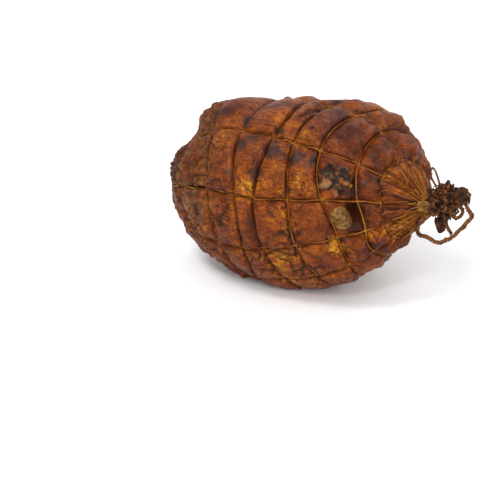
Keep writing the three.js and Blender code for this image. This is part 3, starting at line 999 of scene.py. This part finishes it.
@dataclass(frozen=True)
class TiedEnd:
    """The net gathered and tied at one end of the meat.

    Args:
        name: what its pieces are called.
        row: which end of the net it is.
        outline: (radius, distance from the meat) along the gathered net.
        round: the radius of the tie's winding.
        along: where the tie is.
        turns: how often it goes round.
        strands: how many strings run out of the net.
    """

    name: str
    row: float
    outline: tuple[tuple[float, float], ...]
    round: float
    along: float
    turns: float
    strands: int = 20
    rounds: int = 120
    rings: int = 36
    pleats: int = 15
    twine: Twine = Twine(radius=0.5, lay=3.2, sides=5, step=0.6)
    winding: Twine = Twine(radius=0.66, lay=3.4, sides=6, step=0.6)

    def stand(self, shape: SkinShape, points: np.ndarray) -> np.ndarray:
        """Stands points on the end of the meat, with their Z pointing away from it."""
        way = shape.grid.ways(np.array([self.row]), np.array([0.0]))[0]
        foot = shape.grid.middle + way * shape.grid.plain_radius(way[None])[0]
        turn = np.array(Vector(way).to_track_quat("Z", "Y").to_matrix())
        return points @ turn.T + foot

    def radius_at(self, along: np.ndarray) -> np.ndarray:
        """Returns the gathered net's radius at distances from the meat."""
        radii, places = np.array(self.outline).T
        return np.interp(along, places, radii)

    def sleeve(self, shape: SkinShape) -> bpy.types.Object:
        """Returns the gathered net: a pleated ball drawn out along the outline."""
        bm = bmesh.new()
        bmesh.ops.create_uvsphere(bm, u_segments=self.rounds, v_segments=self.rings, radius=1)
        ball = np.array([vert.co for vert in bm.verts])
        share = 1 - np.arccos(np.clip(ball[:, 2], -1, 1)) / math.pi
        low, high = self.outline[0][1], self.outline[-1][1]
        along = low + (high - low) * smooth(share, 0.12, 0.88)
        radius = self.radius_at(along) * np.minimum(1, np.sin(math.pi * share) * 2.6)
        turn = np.arctan2(ball[:, 1], ball[:, 0])
        fine = np.abs(np.sin(turn * self.pleats / 2 + 0.5 * np.sin(3 * turn) + along * 0.25))
        radius = radius * (0.8 + 0.26 * fine) * (1 + 0.05 * np.sin(2 * turn + 0.7))
        points = polar(radius, turn, along)
        points[:, 2] += 0.5 * bumps(points, 2.5, self.row + 3)
        place_verts(bm, self.stand(shape, points))
        turn_outwards(bm)
        return new_piece(f"{self.name}_gather", bm, Slot.NET, (f"{self.name}_sleeve",))

    def strings(self, shape: SkinShape) -> bpy.types.Object:
        """Returns the net's strings, drawn together under the tie and flaring beyond it."""
        picks = np.random.default_rng(int(self.row) + 5)
        bm = bmesh.new()
        low, high = self.outline[0][1] - 3.5, self.outline[-1][1] + 1.4
        for k in range(self.strands):
            along = np.linspace(low, high + picks.uniform(-0.5, 1.5), 9)
            turn = 2 * math.pi * (k + picks.uniform(-0.3, 0.3)) / self.strands
            turn = turn + 0.05 * along * picks.uniform(-1, 1)
            radius = self.radius_at(np.clip(along, self.outline[1][1], self.outline[-2][1]))
            radius = radius * 1.04 + np.clip(self.outline[0][1] - along, 0, None) * 1.1
            points = polar(radius, turn, along)
            points += picks.normal(0, 0.16, points.shape)
            line = smooth_line(self.stand(shape, points), self.twine.step)
            self.twine.add(bm, line, seed=k, taper=0.6)
        return new_strings(f"{self.name}_strings", bm)

    def tie(self, shape: SkinShape) -> bpy.types.Object:
        """Returns the winding round the gathered net."""
        bm = bmesh.new()
        turn = np.linspace(0, 2 * math.pi * self.turns, int(20 * self.turns))
        share = turn / turn[-1]
        rise = self.along + 1.1 * (share - 0.5) + 0.25 * np.sin(1.7 * turn)
        radius = self.round * (0.9 + 0.05 * np.sin(2.3 * turn)) + 0.4 * np.sin(0.8 * turn + 1)
        line = smooth_line(self.stand(shape, polar(radius, turn, rise)), self.winding.step)
        self.winding.add(bm, line, seed=self.row + 9)
        return new_strings(f"{self.name}_winding", bm, Slot.DARK, (f"{self.name}_tie",))

    def build(self, shape: SkinShape) -> list[bpy.types.Object]:
        """Returns the finished pieces."""
        return [self.sleeve(shape), self.strings(shape), self.tie(shape)]


# ---------------------------------------------------------------- the knot


@dataclass(frozen=True)
class Lump:
    """A tangled lump of string beyond the neck.

    Args:
        name: the CAD node that it stands for.
        middle: its middle, from the neck.
        half: its half sizes.
        strands: how many strings wander over it.
        seed: makes it different from the others.
    """

    name: str
    middle: tuple[float, float, float]
    half: tuple[float, float, float]
    strands: int
    seed: int


@dataclass(frozen=True)
class Tangle:
    """The lumps of tangled string, with strands that curl over and out of them."""

    lumps: tuple[Lump, ...] = (
        Lump("knot_tangle", (14, -1.5, 6), (9.3, 9, 10.5), 46, 3),
        Lump("knot_end", (26.6, -2.5, 11.6), (5.1, 5, 5.4), 18, 8),
        Lump("knot_drop", (13, -2, -9.3), (3.4, 3.4, 5.8), 12, 12),
    )
    core_share: float = 0.68
    rounds: int = 90
    rings: int = 60
    twine: Twine = Twine(radius=0.8, lay=3.2, sides=5, step=0.62, loose=0.25)
    thread: Twine = Twine(radius=0.36, plies=1, sides=5, step=0.5)

    def core(self, lump: Lump, neck: np.ndarray) -> bpy.types.Object:
        """Returns the dark knobbly body of a lump."""
        bm = bmesh.new()
        bmesh.ops.create_uvsphere(bm, u_segments=self.rounds, v_segments=self.rings, radius=1)
        ball = np.array([vert.co for vert in bm.verts])
        half = np.array(lump.half)
        places = ball * half
        worm = 1 - np.abs(bumps(places, 3.6, lump.seed)) * 2.4
        knobs = 0.10 * worm + 0.10 * bumps(places, 4.5, lump.seed + 1)
        knobs += 0.05 * (1 - np.abs(bumps(places, 1.6, lump.seed + 2)) * 3)
        scale = self.core_share * (1 + knobs)
        place_verts(bm, neck + np.array(lump.middle) + places * scale[:, None])
        turn_outwards(bm)
        return new_piece(f"{lump.name}_core", bm, Slot.DARK, (lump.name,))

    def wander(self, lump: Lump, picks: np.random.Generator) -> np.ndarray:
        """Returns the line of one strand over a lump, which now and then curls away from it."""
        half = np.array(lump.half)
        way = picks.normal(size=3)
        way /= np.linalg.norm(way)
        head = np.cross(way, picks.normal(size=3))
        head /= np.linalg.norm(head)
        bend = picks.uniform(-1.2, 1.2)
        points = []
        curl = picks.uniform(0, 6.28)
        for i in range(int(picks.uniform(9, 17))):
            out = 0.86 + 0.2 * math.sin(curl + 1.4 * i) + (0.26 if picks.uniform() < 0.12 else 0)
            points.append(np.array(lump.middle) + way * half * out)
            bend = 0.6 * bend + picks.normal(0, 0.55)
            head = head - way * (head @ way)
            head /= np.linalg.norm(head)
            side = np.cross(way, head)
            head = head * math.cos(bend) + side * math.sin(bend)
            way = way + head * 2.6 / half.mean()
            way /= np.linalg.norm(way)
        return np.array(points)

    def build(self, neck: np.ndarray) -> list[bpy.types.Object]:
        """Returns the finished pieces."""
        made = []
        pale = bmesh.new()
        for lump in self.lumps:
            picks = np.random.default_rng(lump.seed)
            made.append(self.core(lump, neck))
            bm = bmesh.new()
            for k in range(lump.strands):
                line = smooth_line(self.wander(lump, picks) + neck, self.twine.step)
                self.twine.add(pale if k % 7 == 3 else bm, line, seed=k, taper=0.5)
            for k in range(lump.strands):
                line = smooth_line(self.wander(lump, picks) + neck, self.thread.step)
                self.thread.add(pale if k % 5 == 0 else bm, line, seed=k, taper=0.4)
            made.append(new_strings(f"{lump.name}_strands", bm, Slot.DARK))
        made.append(new_strings("knot_pale_strands", pale))
        return made


@dataclass(frozen=True)
class FrayedTuft:
    """A pale frayed tuft of string where the neck meets the knot."""

    middle: tuple[float, float, float] = (2.2, -4.9, 0.9)
    half: tuple[float, float, float] = (5.0, 2.3, 2.8)
    fibres: int = 90
    twine: Twine = Twine(radius=0.3, plies=1, sides=4, step=0.5)

    def build(self, neck: np.ndarray) -> bpy.types.Object:
        """Returns the finished piece."""
        picks = np.random.default_rng(41)
        bm = bmesh.new()
        half, middle = np.array(self.half), np.array(self.middle)
        for k in range(self.fibres):
            start = picks.normal(size=3)
            start *= 0.75 / np.linalg.norm(start)
            across = np.cross(start, picks.normal(size=3))
            across /= np.linalg.norm(across)
            share = np.linspace(-1, 1, 7)[:, None]
            bow = (1 - share**2) * start * 0.5
            points = (start + across * share * picks.uniform(0.5, 1.0) + bow) * half
            points += picks.normal(0, 0.4, points.shape) + middle + neck
            self.twine.add(bm, smooth_line(points, self.twine.step), seed=k, taper=0.4)
        return new_strings("frayed_tuft", bm)


@dataclass(frozen=True)
class LoopRoute:
    """A stiff loop or end of string.

    Args:
        name: the CAD node that it stands for.
        radius: half its thickness.
        through: the points that it runs through, from the neck.
        start: the lump that it comes out of.
        stop: the lump that it goes back into.
        chained: whether it is chain stitched rather than twisted.
    """

    name: str
    radius: float
    through: tuple[tuple[float, float, float], ...]
    start: str = ""
    stop: str = ""
    chained: bool = False


@dataclass(frozen=True)
class KnotLoops:
    """The loops and ends of string that stand out of the knot."""

    routes: tuple[LoopRoute, ...] = (
        LoopRoute("loop_top", 0.7, ((4.6, -1, 20.5), (4.4, -1.5, 25), (5.7, -1.8, 27.4),
                                    (7.5, -1.8, 25.5), (9.6, -1.8, 20.5)),
                  "knot_tangle", "knot_tangle"),
        LoopRoute("loop_low", 1.2, ((31.5, -5, 4), (34, -5.5, 1), (33, -6, -3.5), (28, -6, -9.7),
                                    (22.7, -6, -15.5), (18, -5.5, -20), (13.7, -5, -22.3),
                                    (9.6, -5, -21.7), (6, -5.5, -19.7), (3, -6.5, -19),
                                    (0.2, -8.5, -17), (-0.6, -9.5, -13), (1, -9, -9),
                                    (4.3, -7.5, -6)),
                  "knot_end", "knot_tangle", True),
        LoopRoute("loop_side", 0.9, ((17.8, -7.8, -4.5), (18.8, -7.6, -8.7), (21.7, -6.5, -13.8)),
                  "knot_tangle", "", True),
        LoopRoute("string_tip", 0.7, ((-6, -13, -9.6), (-5, -13, -11.4), (-3.2, -12.6, -12.4),
                                      (-1.2, -12, -12))),
    )
    gap: float = 0.3
    stitch: float = 2.6
    crinkle: float = 1.6
    ring_middle: tuple[float, float, float] = (24.7, -6.7, 2)
    ring_faces: tuple[float, float, float] = (0.39, -0.84, 0.38)
    ring_round: float = 3.7
    ring_radius: float = 0.9

    def out_of(self, lump: Lump, towards: np.ndarray) -> np.ndarray:
        """Returns where a string that heads for a point comes out of a lump."""
        middle, half = np.array(lump.middle), np.array(lump.half)
        way = towards - middle
        share = 1 / np.linalg.norm(way / half) + self.gap / np.linalg.norm(way)
        return middle + way * share

    def line(self, route: LoopRoute, lumps: dict[str, Lump], neck: np.ndarray) -> np.ndarray:
        """Returns a route's even centreline."""
        points = [np.array(point, float) for point in route.through]
        if route.start:
            points.insert(0, self.out_of(lumps[route.start], points[0]))
        if route.stop:
            points.append(self.out_of(lumps[route.stop], points[-1]))
        line = smooth_line(np.array(points) + neck, 0.5)
        if route.chained:
            free = np.sin(np.linspace(0, math.pi, len(line))) ** 0.4
            for axis in range(3):
                line[:, axis] += self.crinkle * free * bumps(line, 5, axis + 60)
        return line

    def chain(self, bm: bmesh.types.BMesh, line: np.ndarray, radius: float, closed: bool,
              seed: float) -> None:
        """Adds a chain stitched string: three bulging strands that cross over each other."""
        sides, ups = frames_along(line, closed)
        reach = reach_along(line)
        total = reach[-1] + (reach[-1] - reach[-2] if closed else 0)
        turns = max(2, round(total / (2 * self.stitch)))
        phase = 2 * math.pi * turns * reach / total
        strand = Twine(radius=radius * 0.74, plies=1, sides=7, step=0.5)
        for k in range(3):
            shift = phase + 2 * math.pi * k / 3
            aside, rise = np.sin(shift), np.sin(2 * shift)
            nub = 1 + 0.8 * bumps(line, 2.8, seed + 2 * k)
            out = sides * (0.8 * radius * aside * nub)[:, None]
            out += ups * (0.6 * radius * rise * nub)[:, None]
            strand.tube(bm, line + out, strand.radius, closed, 0.6)

    def build(self, tangle: Tangle, neck: np.ndarray) -> list[bpy.types.Object]:
        """Returns the finished pieces."""
        lumps = {lump.name: lump for lump in tangle.lumps}
        made = []
        for k, route in enumerate(self.routes):
            line = self.line(route, lumps, neck)
            bm = bmesh.new()
            if route.chained:
                self.chain(bm, line, route.radius, False, k + 3)
            else:
                Twine(radius=1.25 * route.radius, lay=3.6, step=0.5, sides=7).add(bm, line, seed=k)
            piece = new_strings(f"{route.name}_string", bm, nodes=(route.name,))
            made.append(piece)
        made.append(self.ring(neck))
        return made

    def ring(self, neck: np.ndarray) -> bpy.types.Object:
        """Returns the small chain stitched ring."""
        turn = np.linspace(0, 2 * math.pi, 24, endpoint=False)
        wobble = 1 + 0.06 * np.sin(3 * turn)
        flat = np.stack([np.cos(turn) * wobble, np.sin(turn) * wobble, 0.08 * np.sin(2 * turn)], -1)
        tilt = np.array(Vector(self.ring_faces).to_track_quat("Z", "Y").to_matrix())
        points = flat * self.ring_round @ tilt.T + np.array(self.ring_middle) + neck
        bm = bmesh.new()
        self.chain(bm, smooth_line(points, 0.45, closed=True), self.ring_radius, True, 7)
        return new_strings("ring_string", bm, nodes=("loop_ring",))


# ---------------------------------------------------------------- finishes


class Nodes:
    """Short ways of adding shader nodes to a material."""

    def __init__(self, name: str) -> None:
        """Args:
            name: the material's name.
        """
        self.material = bpy.data.materials.new(name)
        self.material.use_nodes = True
        self.tree = self.material.node_tree
        self.shader = self.tree.nodes["Principled BSDF"]
        self.coords = self.tree.nodes.new("ShaderNodeTexCoord").outputs["Object"]

    def link(self, source: Socket | float | tuple, socket: Socket) -> None:
        """Links a socket, or sets it where the source is a plain value."""
        if isinstance(source, bpy.types.NodeSocket):
            self.tree.links.new(source, socket)
        else:
            socket.default_value = source

    def fact(self, name: str) -> Socket:
        """Returns a number stored on the mesh's vertices."""
        node = self.tree.nodes.new("ShaderNodeAttribute")
        node.attribute_name = name
        return node.outputs["Fac"]

    def math(self, kind: str, a: Socket | float, b: Socket | float = 0.0,
             c: Socket | float = 0.0) -> Socket:
        """Returns the result of a math node."""
        node = self.tree.nodes.new("ShaderNodeMath")
        node.operation = kind
        for source, socket in zip((a, b, c), node.inputs):
            self.link(source, socket)
        return node.outputs[0]

    def step(self, value: Socket, low: float, high: float, to_low: float = 0.0,
             to_high: float = 1.0) -> Socket:
        """Returns a value mapped smoothly from one range to another."""
        node = self.tree.nodes.new("ShaderNodeMapRange")
        node.interpolation_type = "SMOOTHSTEP"
        for name, source in (("Value", value), ("From Min", low), ("From Max", high),
                             ("To Min", to_low), ("To Max", to_high)):
            self.link(source, node.inputs[name])
        return node.outputs["Result"]

    def noise(self, size: float, detail: float = 3, stretch: tuple[float, float, float] = (1, 1, 1),
              move: float = 0.0, distortion: float = 0.0) -> Socket:
        """Returns noise with bumps of a size in millimetres, stretched along the axes."""
        mapping = self.tree.nodes.new("ShaderNodeMapping")
        mapping.inputs["Scale"].default_value = [1 / factor for factor in stretch]
        mapping.inputs["Location"].default_value = (move, move * 0.7, -move)
        self.link(self.coords, mapping.inputs["Vector"])
        node = self.tree.nodes.new("ShaderNodeTexNoise")
        node.inputs["Scale"].default_value = 1 / (size * MM)
        node.inputs["Detail"].default_value = detail
        node.inputs["Distortion"].default_value = distortion
        self.link(mapping.outputs["Vector"], node.inputs["Vector"])
        return node.outputs["Fac"]

    def lines(self, size: float, stretch: tuple[float, float, float], move: float,
              width: float) -> Socket:
        """Returns 1 on thin winding lines, about a size in millimetres apart, and 0 off them."""
        winding = self.noise(size, 3, stretch, move, 0.8)
        away = self.math("ABSOLUTE", self.math("SUBTRACT", winding, 0.5))
        return self.step(away, 0.0, width, 1.0, 0.0)

    def mix(self, share: Socket, a: Socket | Colour, b: Socket | Colour) -> Socket:
        """Returns two colours mixed by a share."""
        node = self.tree.nodes.new("ShaderNodeMix")
        node.data_type = "RGBA"
        self.link(share, node.inputs[0])
        for source, socket in ((a, node.inputs[6]), (b, node.inputs[7])):
            self.link((*source, 1) if isinstance(source, tuple) else source, socket)
        return node.outputs[2]

    def tinted(self, under: Socket, mask: Socket, share: float, tint: Socket | Colour) -> Socket:
        """Returns a colour with a tint laid over it, at a share of its mask."""
        return self.mix(self.math("MULTIPLY", mask, share), under, tint)

    def ramp(self, value: Socket, stops: Stops) -> Socket:
        """Returns a colour picked from stops by a value."""
        node = self.tree.nodes.new("ShaderNodeValToRGB")
        ramp = node.color_ramp
        while len(ramp.elements) < len(stops):
            ramp.elements.new(0.5)
        for element, (place, colour) in zip(ramp.elements, stops):
            element.position, element.color = place, (*colour, 1)
        self.link(value, node.inputs["Fac"])
        return node.outputs["Color"]

    def bump(self, height: Socket, distance: float, strength: float) -> None:
        """Adds a bump of a height in millimetres."""
        node = self.tree.nodes.new("ShaderNodeBump")
        node.inputs["Distance"].default_value = distance * MM
        node.inputs["Strength"].default_value = strength
        self.link(height, node.inputs["Height"])
        self.link(node.outputs["Normal"], self.shader.inputs["Normal"])
        self.link(node.outputs["Normal"], self.shader.inputs["Coat Normal"])


@dataclass(frozen=True)
class SkinFinish:
    """The smoked skin: red brown to golden, sooty in places, with a dull fatty shine; its creases, pit
    and torn cracks get painted shade.
    """

    stops: Stops = (
        (0.0, (0.026, 0.006, 0.004)),
        (0.18, (0.085, 0.014, 0.003)),
        (0.36, (0.172, 0.033, 0.003)),
        (0.54, (0.248, 0.057, 0.003)),
        (0.74, (0.360, 0.120, 0.004)),
        (1.0, (0.600, 0.290, 0.022)),
    )
    olive: Colour = (0.150, 0.092, 0.022)
    # Painted shade for creases, cracks, folds, hollows, wrinkle lines and the skin beside the strings.
    crease_shade: Colour = (0.014, 0.006, 0.004)
    soot: Colour = (0.024, 0.014, 0.014)
    tan: Colour = (0.370, 0.190, 0.045)
    tan_dark: Colour = (0.140, 0.050, 0.008)
    # The torn patch's colours: its darkest stops fall mostly in the low cracks between the rags, as
    # painted shade.
    torn: Stops = (
        (0.16, (0.008, 0.008, 0.009)),
        (0.28, (0.034, 0.028, 0.014)),
        (0.4, (0.120, 0.034, 0.006)),
        (0.62, (0.270, 0.075, 0.006)),
        (0.9, (0.260, 0.150, 0.060)),
    )
    # Painted shade in the pit's hollow.
    pit_shade: Colour = (0.045, 0.009, 0.003)
    fleck: Colour = (0.540, 0.290, 0.045)
    shine: Colour = (1.0, 0.72, 0.46)
    roughness: float = 0.36
    specular: float = 0.06
    coat: float = 0.19
    coat_roughness: float = 0.13

    def mottled(self, nodes: Nodes, rough: Socket, middling: Socket, fine: Socket,
                streaks: Socket) -> Socket:
        """Returns the colour of sound skin: mottled, with sooty spots and golden flecks."""
        # The amber attribute holds the skin's golden tone and, at the neck, a painted highlight on the
        # pleat ridges.
        tone = nodes.fact("amber")
        for source, much in ((middling, 0.9), (streaks, 0.9), (fine, 1.0)):
            mottle = nodes.math("MULTIPLY_ADD", source, much, -much / 2)
            tone = nodes.math("ADD", tone, nodes.math("MULTIPLY", mottle, rough))
        broad = nodes.noise(16, 4, move=1.3)
        tone = nodes.math("ADD", tone, nodes.math("MULTIPLY_ADD", broad, 0.8, -0.4))
        colour = nodes.ramp(tone, self.stops)
        spots = nodes.step(nodes.noise(3.4, 3, move=7.7), 0.61, 0.72)
        colour = nodes.tinted(colour, spots, 0.7, self.soot)
        flecks = nodes.step(nodes.noise(2.0, 2, move=9.2), 0.70, 0.78)
        colour = nodes.tinted(colour, flecks, 0.75, self.fleck)
        olive = nodes.math("MULTIPLY", nodes.fact("olive"), nodes.step(middling, 0.42, 0.6))
        colour = nodes.tinted(colour, olive, 0.6, self.olive)
        return nodes.tinted(colour, nodes.fact("soot"), 0.86, self.soot)

    def wounded(self, nodes: Nodes, colour: Socket) -> Socket:
        """Returns the colour with the pit darkened as painted shade, the tan lump beside it and the
        torn patch, whose low cracks get painted shade.
        """
        colour = nodes.tinted(colour, nodes.fact("pit_shade"), 0.9, self.pit_shade)
        tan = nodes.mix(nodes.step(nodes.noise(2.6, 4), 0.38, 0.62), self.tan, self.tan_dark)
        colour = nodes.mix(nodes.fact("tan"), colour, tan)
        ragged = nodes.math("MULTIPLY_ADD", nodes.noise(1.5, 4, move=5), 1.1, -0.55)
        ragged = nodes.math("ADD", ragged, nodes.fact("rags"))
        return nodes.tinted(colour, nodes.fact("torn"), 0.92, nodes.ramp(ragged, self.torn))

    def wrinkles(self, nodes: Nodes) -> Socket:
        """Returns 1 on the finest wrinkles, which come and go over the skin."""
        small = nodes.math("MULTIPLY", nodes.lines(3.4, (1.4, 1, 1), 2.9, 0.035), 0.7)
        wrinkle = nodes.math("MAXIMUM", nodes.lines(7, (2.2, 1, 1), 8.3, 0.024), small)
        return nodes.math("MULTIPLY", wrinkle, nodes.step(nodes.noise(17, 2, move=6.6), 0.38, 0.56))

    def build(self) -> bpy.types.Material:
        """Returns the finished material."""
        nodes = Nodes("smoked_skin")
        middling = nodes.noise(5, 5, move=4.1, distortion=0.6)
        fine = nodes.noise(1.5, 5, move=2.2)
        streaks = nodes.noise(1.8, 5, (4, 1, 1), 3.3, 0.5)
        rough = nodes.step(nodes.fact("amber"), 0.22, 0.5, 0.3, 1.0)
        wrinkle = self.wrinkles(nodes)
        colour = self.wounded(nodes, self.mottled(nodes, rough, middling, fine, streaks))
        # Painted shade darkens the fine wrinkle lines, then the creases, cracks, folds, hollows, pleat
        # valleys and the skin beside the strings, broken up by noise.
        colour = nodes.tinted(colour, wrinkle, 0.5, self.crease_shade)
        shade_patches = nodes.step(middling, 0.3, 0.55, 0.6, 0.95)
        colour = nodes.mix(nodes.math("MULTIPLY", nodes.fact("crease_shade"), shade_patches), colour, self.crease_shade)
        dull = nodes.math("MULTIPLY_ADD", nodes.fact("soot"), 0.25, self.roughness)
        dull = nodes.math("ADD", dull, nodes.math("MULTIPLY_ADD", middling, 0.3, -0.15))
        dull = nodes.math("ADD", dull, nodes.math("MULTIPLY", nodes.fact("torn"), 0.2))
        for name, value in (
            ("Base Color", colour),
            ("Roughness", dull),
            ("Specular IOR Level", self.specular),
            ("Specular Tint", (*self.shine, 1)),
            ("Coat Weight", self.coat),
            ("Coat Roughness", self.coat_roughness),
        ):
            nodes.link(value, nodes.shader.inputs[name])
        relief = nodes.math("MULTIPLY_ADD", streaks, 0.55, nodes.math("MULTIPLY", fine, 0.45))
        relief = nodes.math("MULTIPLY_ADD", nodes.noise(0.5, 2), 0.12, relief)
        relief = nodes.math("MULTIPLY_ADD", wrinkle, -0.4, relief)
        nodes.bump(nodes.math("MULTIPLY", relief, rough), 1.6, 0.9)
        return nodes.material


@dataclass(frozen=True)
class StringFinish:
    """Smoked cotton string.

    Args:
        name: the material's name.
        stops: its colours, from the sootiest to the cleanest.
        patch: the size of its darker patches.
        roughness: how dull it is.
        specular: how strongly it shines.
        coat: its waxy smoked coat.
        coat_roughness: how dull the coat is.
    """

    name: str
    stops: Stops
    patch: float = 9
    roughness: float = 0.62
    specular: float = 0.12
    coat: float = 0.12
    coat_roughness: float = 0.3

    def build(self) -> bpy.types.Material:
        """Returns the finished material."""
        nodes = Nodes(self.name)
        patches = nodes.noise(self.patch, 4, move=6.1)
        fibres = nodes.noise(0.5, 3, move=1.9)
        tone = nodes.math("MULTIPLY_ADD", patches, 1.5, -0.25)
        tone = nodes.math("ADD", tone, nodes.math("MULTIPLY_ADD", fibres, 0.5, -0.25))
        nodes.link(nodes.ramp(tone, self.stops), nodes.shader.inputs["Base Color"])
        nodes.link(nodes.math("MULTIPLY_ADD", fibres, 0.3, self.roughness - 0.15),
                   nodes.shader.inputs["Roughness"])
        nodes.link(self.specular, nodes.shader.inputs["Specular IOR Level"])
        nodes.link(self.coat, nodes.shader.inputs["Coat Weight"])
        nodes.link(self.coat_roughness, nodes.shader.inputs["Coat Roughness"])
        nodes.bump(fibres, 0.3, 0.6)
        return nodes.material


GOLDEN = StringFinish("golden_string", (
    (0.1, (0.040, 0.013, 0.005)), (0.35, (0.15, 0.046, 0.008)), (0.6, (0.32, 0.110, 0.013)),
    (0.9, (0.52, 0.220, 0.030)),
))
SOOTY = StringFinish("sooty_string", (
    (0.2, (0.008, 0.004, 0.003)), (0.45, (0.030, 0.010, 0.005)), (0.68, (0.110, 0.036, 0.012)),
    (1.0, (0.26, 0.105, 0.026)),
), 3.2, 0.6)
RUSTY = StringFinish("rusty_string", (
    (0.2, (0.014, 0.006, 0.003)), (0.42, (0.070, 0.023, 0.006)), (0.64, (0.180, 0.060, 0.010)),
    (1.0, (0.36, 0.150, 0.024)),
), 3, 0.5)
STRAW = StringFinish("straw_string", (
    (0.15, (0.07, 0.026, 0.007)), (0.4, (0.30, 0.14, 0.032)), (0.75, (0.62, 0.37, 0.11)),
), 3, 0.75)


# ---------------------------------------------------------------- the studio


@dataclass(frozen=True)
class SoftLight:
    """A big soft lamp that looks at the ham.

    Args:
        name: its name.
        place: where it is, in metres.
        size: its width and height in metres.
        power: in watts.
        colour: its tint.
    """

    name: str
    place: tuple[float, float, float]
    size: tuple[float, float]
    power: float
    colour: Colour = (1, 1, 1)

    def build(self, target: Vector) -> None:
        """Adds the lamp, turned to the target."""
        data = bpy.data.lights.new(self.name, "AREA")
        data.shape = "RECTANGLE"
        data.size, data.size_y = self.size
        data.energy = self.power
        data.color = self.colour
        lamp = bpy.data.objects.new(self.name, data)
        lamp.location = self.place
        lamp.rotation_mode = "QUATERNION"
        lamp.rotation_quaternion = (target - Vector(self.place)).to_track_quat("-Z", "Y")
        bpy.context.scene.collection.objects.link(lamp)


@dataclass(frozen=True)
class Studio:
    """A pale floor, soft light and the camera."""

    azimuth: float = 25
    elevation: float = 22
    distance: float = 0.9
    lens: float = 93.7
    shift: tuple[float, float] = (-0.1, -0.112)
    floor_half: float = 6
    floor_drop: float = 0.0002
    floor_colour: Colour = (0.90, 0.90, 0.91)
    world: Colour = (1.0, 1.0, 1.0)
    world_strength: float = 0.85
    lights: tuple[SoftLight, ...] = (
        SoftLight("key_box", (-0.4, -0.55, 1.25), (0.4, 0.4), 7.5),
        SoftLight("fill_box", (1.1, -1.3, 0.8), (1.2, 1.0), 10.5),
        SoftLight("back_box", (0.3, 1.0, 1.1), (1.3, 0.8), 7),
        SoftLight("spark_box", (0.25, -1.0, 1.1), (0.22, 0.22), 4),
    )

    def floor(self) -> None:
        """Adds the floor."""
        bm = bmesh.new()
        bmesh.ops.create_grid(bm, x_segments=1, y_segments=1, size=self.floor_half)
        mesh = bpy.data.meshes.new("floor")
        bm.to_mesh(mesh)
        bm.free()
        floor = bpy.data.objects.new("floor", mesh)
        floor.location.z = -self.floor_drop
        bpy.context.scene.collection.objects.link(floor)
        nodes = Nodes("floor")
        paper = nodes.noise(900, 2)
        low = tuple(0.985 * value for value in self.floor_colour)
        nodes.link(nodes.mix(paper, low, self.floor_colour), nodes.shader.inputs["Base Color"])
        nodes.link(0.75, nodes.shader.inputs["Roughness"])
        nodes.link(0.2, nodes.shader.inputs["Specular IOR Level"])
        mesh.materials.append(nodes.material)

    def camera(self, target: Vector) -> None:
        """Adds the camera, looking at the target."""
        around, up = math.radians(self.azimuth), math.radians(self.elevation)
        back = Vector((math.sin(around) * math.cos(up), -math.cos(around) * math.cos(up), math.sin(up)))
        data = bpy.data.cameras.new("camera")
        data.lens = self.lens
        data.shift_x, data.shift_y = self.shift
        camera = bpy.data.objects.new("camera", data)
        camera.location = target + back * self.distance
        camera.rotation_mode = "QUATERNION"
        camera.rotation_quaternion = (-back).to_track_quat("-Z", "Y")
        bpy.context.scene.collection.objects.link(camera)
        bpy.context.scene.camera = camera

    def build(self, target: Vector) -> None:
        """Builds the studio round the target."""
        scene = bpy.context.scene
        world = bpy.data.worlds.new("studio")
        world.use_nodes = True
        back = world.node_tree.nodes["Background"]
        back.inputs["Color"].default_value = (*self.world, 1)
        back.inputs["Strength"].default_value = self.world_strength
        scene.world = world
        scene.view_settings.view_transform = "Standard"
        self.floor()
        for light in self.lights:
            light.build(target)
        self.camera(target)


def paint(pieces: list[bpy.types.Object], skin: bpy.types.Material) -> None:
    """Gives every piece the finish that suits its slot."""
    golden, sooty, straw, rusty = GOLDEN.build(), SOOTY.build(), STRAW.build(), RUSTY.build()
    for piece in pieces:
        slot = piece["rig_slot"]
        if slot == Slot.SKIN.value:
            finish = skin
        elif slot == Slot.DARK.value:
            finish = sooty
        elif piece.name == "frayed_tuft":
            finish = straw
        else:
            finish = rusty if piece.name.endswith("_string") or "knot" in piece.name else golden
        piece.data.materials.clear()
        piece.data.materials.append(finish)


def main() -> None:
    """Builds the ham, its finishes and the studio."""
    logging.basicConfig(level=logging.INFO)
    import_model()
    grid = NetGrid(HamForm())
    shape = SkinShape(grid, SkinRelief(), SkinTones())
    way = grid.ways(np.array([0.0]), np.array([0.0]))
    neck = (grid.middle + way * grid.plain_radius(way)[:, None])[0]

    pieces = [HamMeat().build(shape)]
    pieces += StringNet().build(shape)
    neck_end = TiedEnd("neck", 0.0, ((3.4, 0.3), (5.2, 0.6), (5.4, 1.2), (3.4, 2.4), (3.5, 4.2),
                                     (4.6, 5.7), (3.6, 6.0)), 4.5, 3.2, 3.4)
    heel_end = TiedEnd("heel", 10.0, ((4.0, 1.0), (5.4, 1.6), (6.0, 2.4), (3.9, 3.8), (4.0, 6.4),
                                      (5.3, 8.4), (4.2, 8.8)), 4.9, 5.2, 3.2)
    pieces += neck_end.build(shape) + heel_end.build(shape)
    tangle = Tangle()
    pieces += tangle.build(neck)
    pieces.append(FrayedTuft().build(neck))
    pieces += KnotLoops().build(tangle, neck)
    for piece in pieces:
        LOG.info("%s: %d faces", piece.name, len(piece.data.polygons))

    paint(pieces, SkinFinish().build())
    Studio().build(Vector(grid.middle) * MM)


if __name__ == "__main__":
    main()
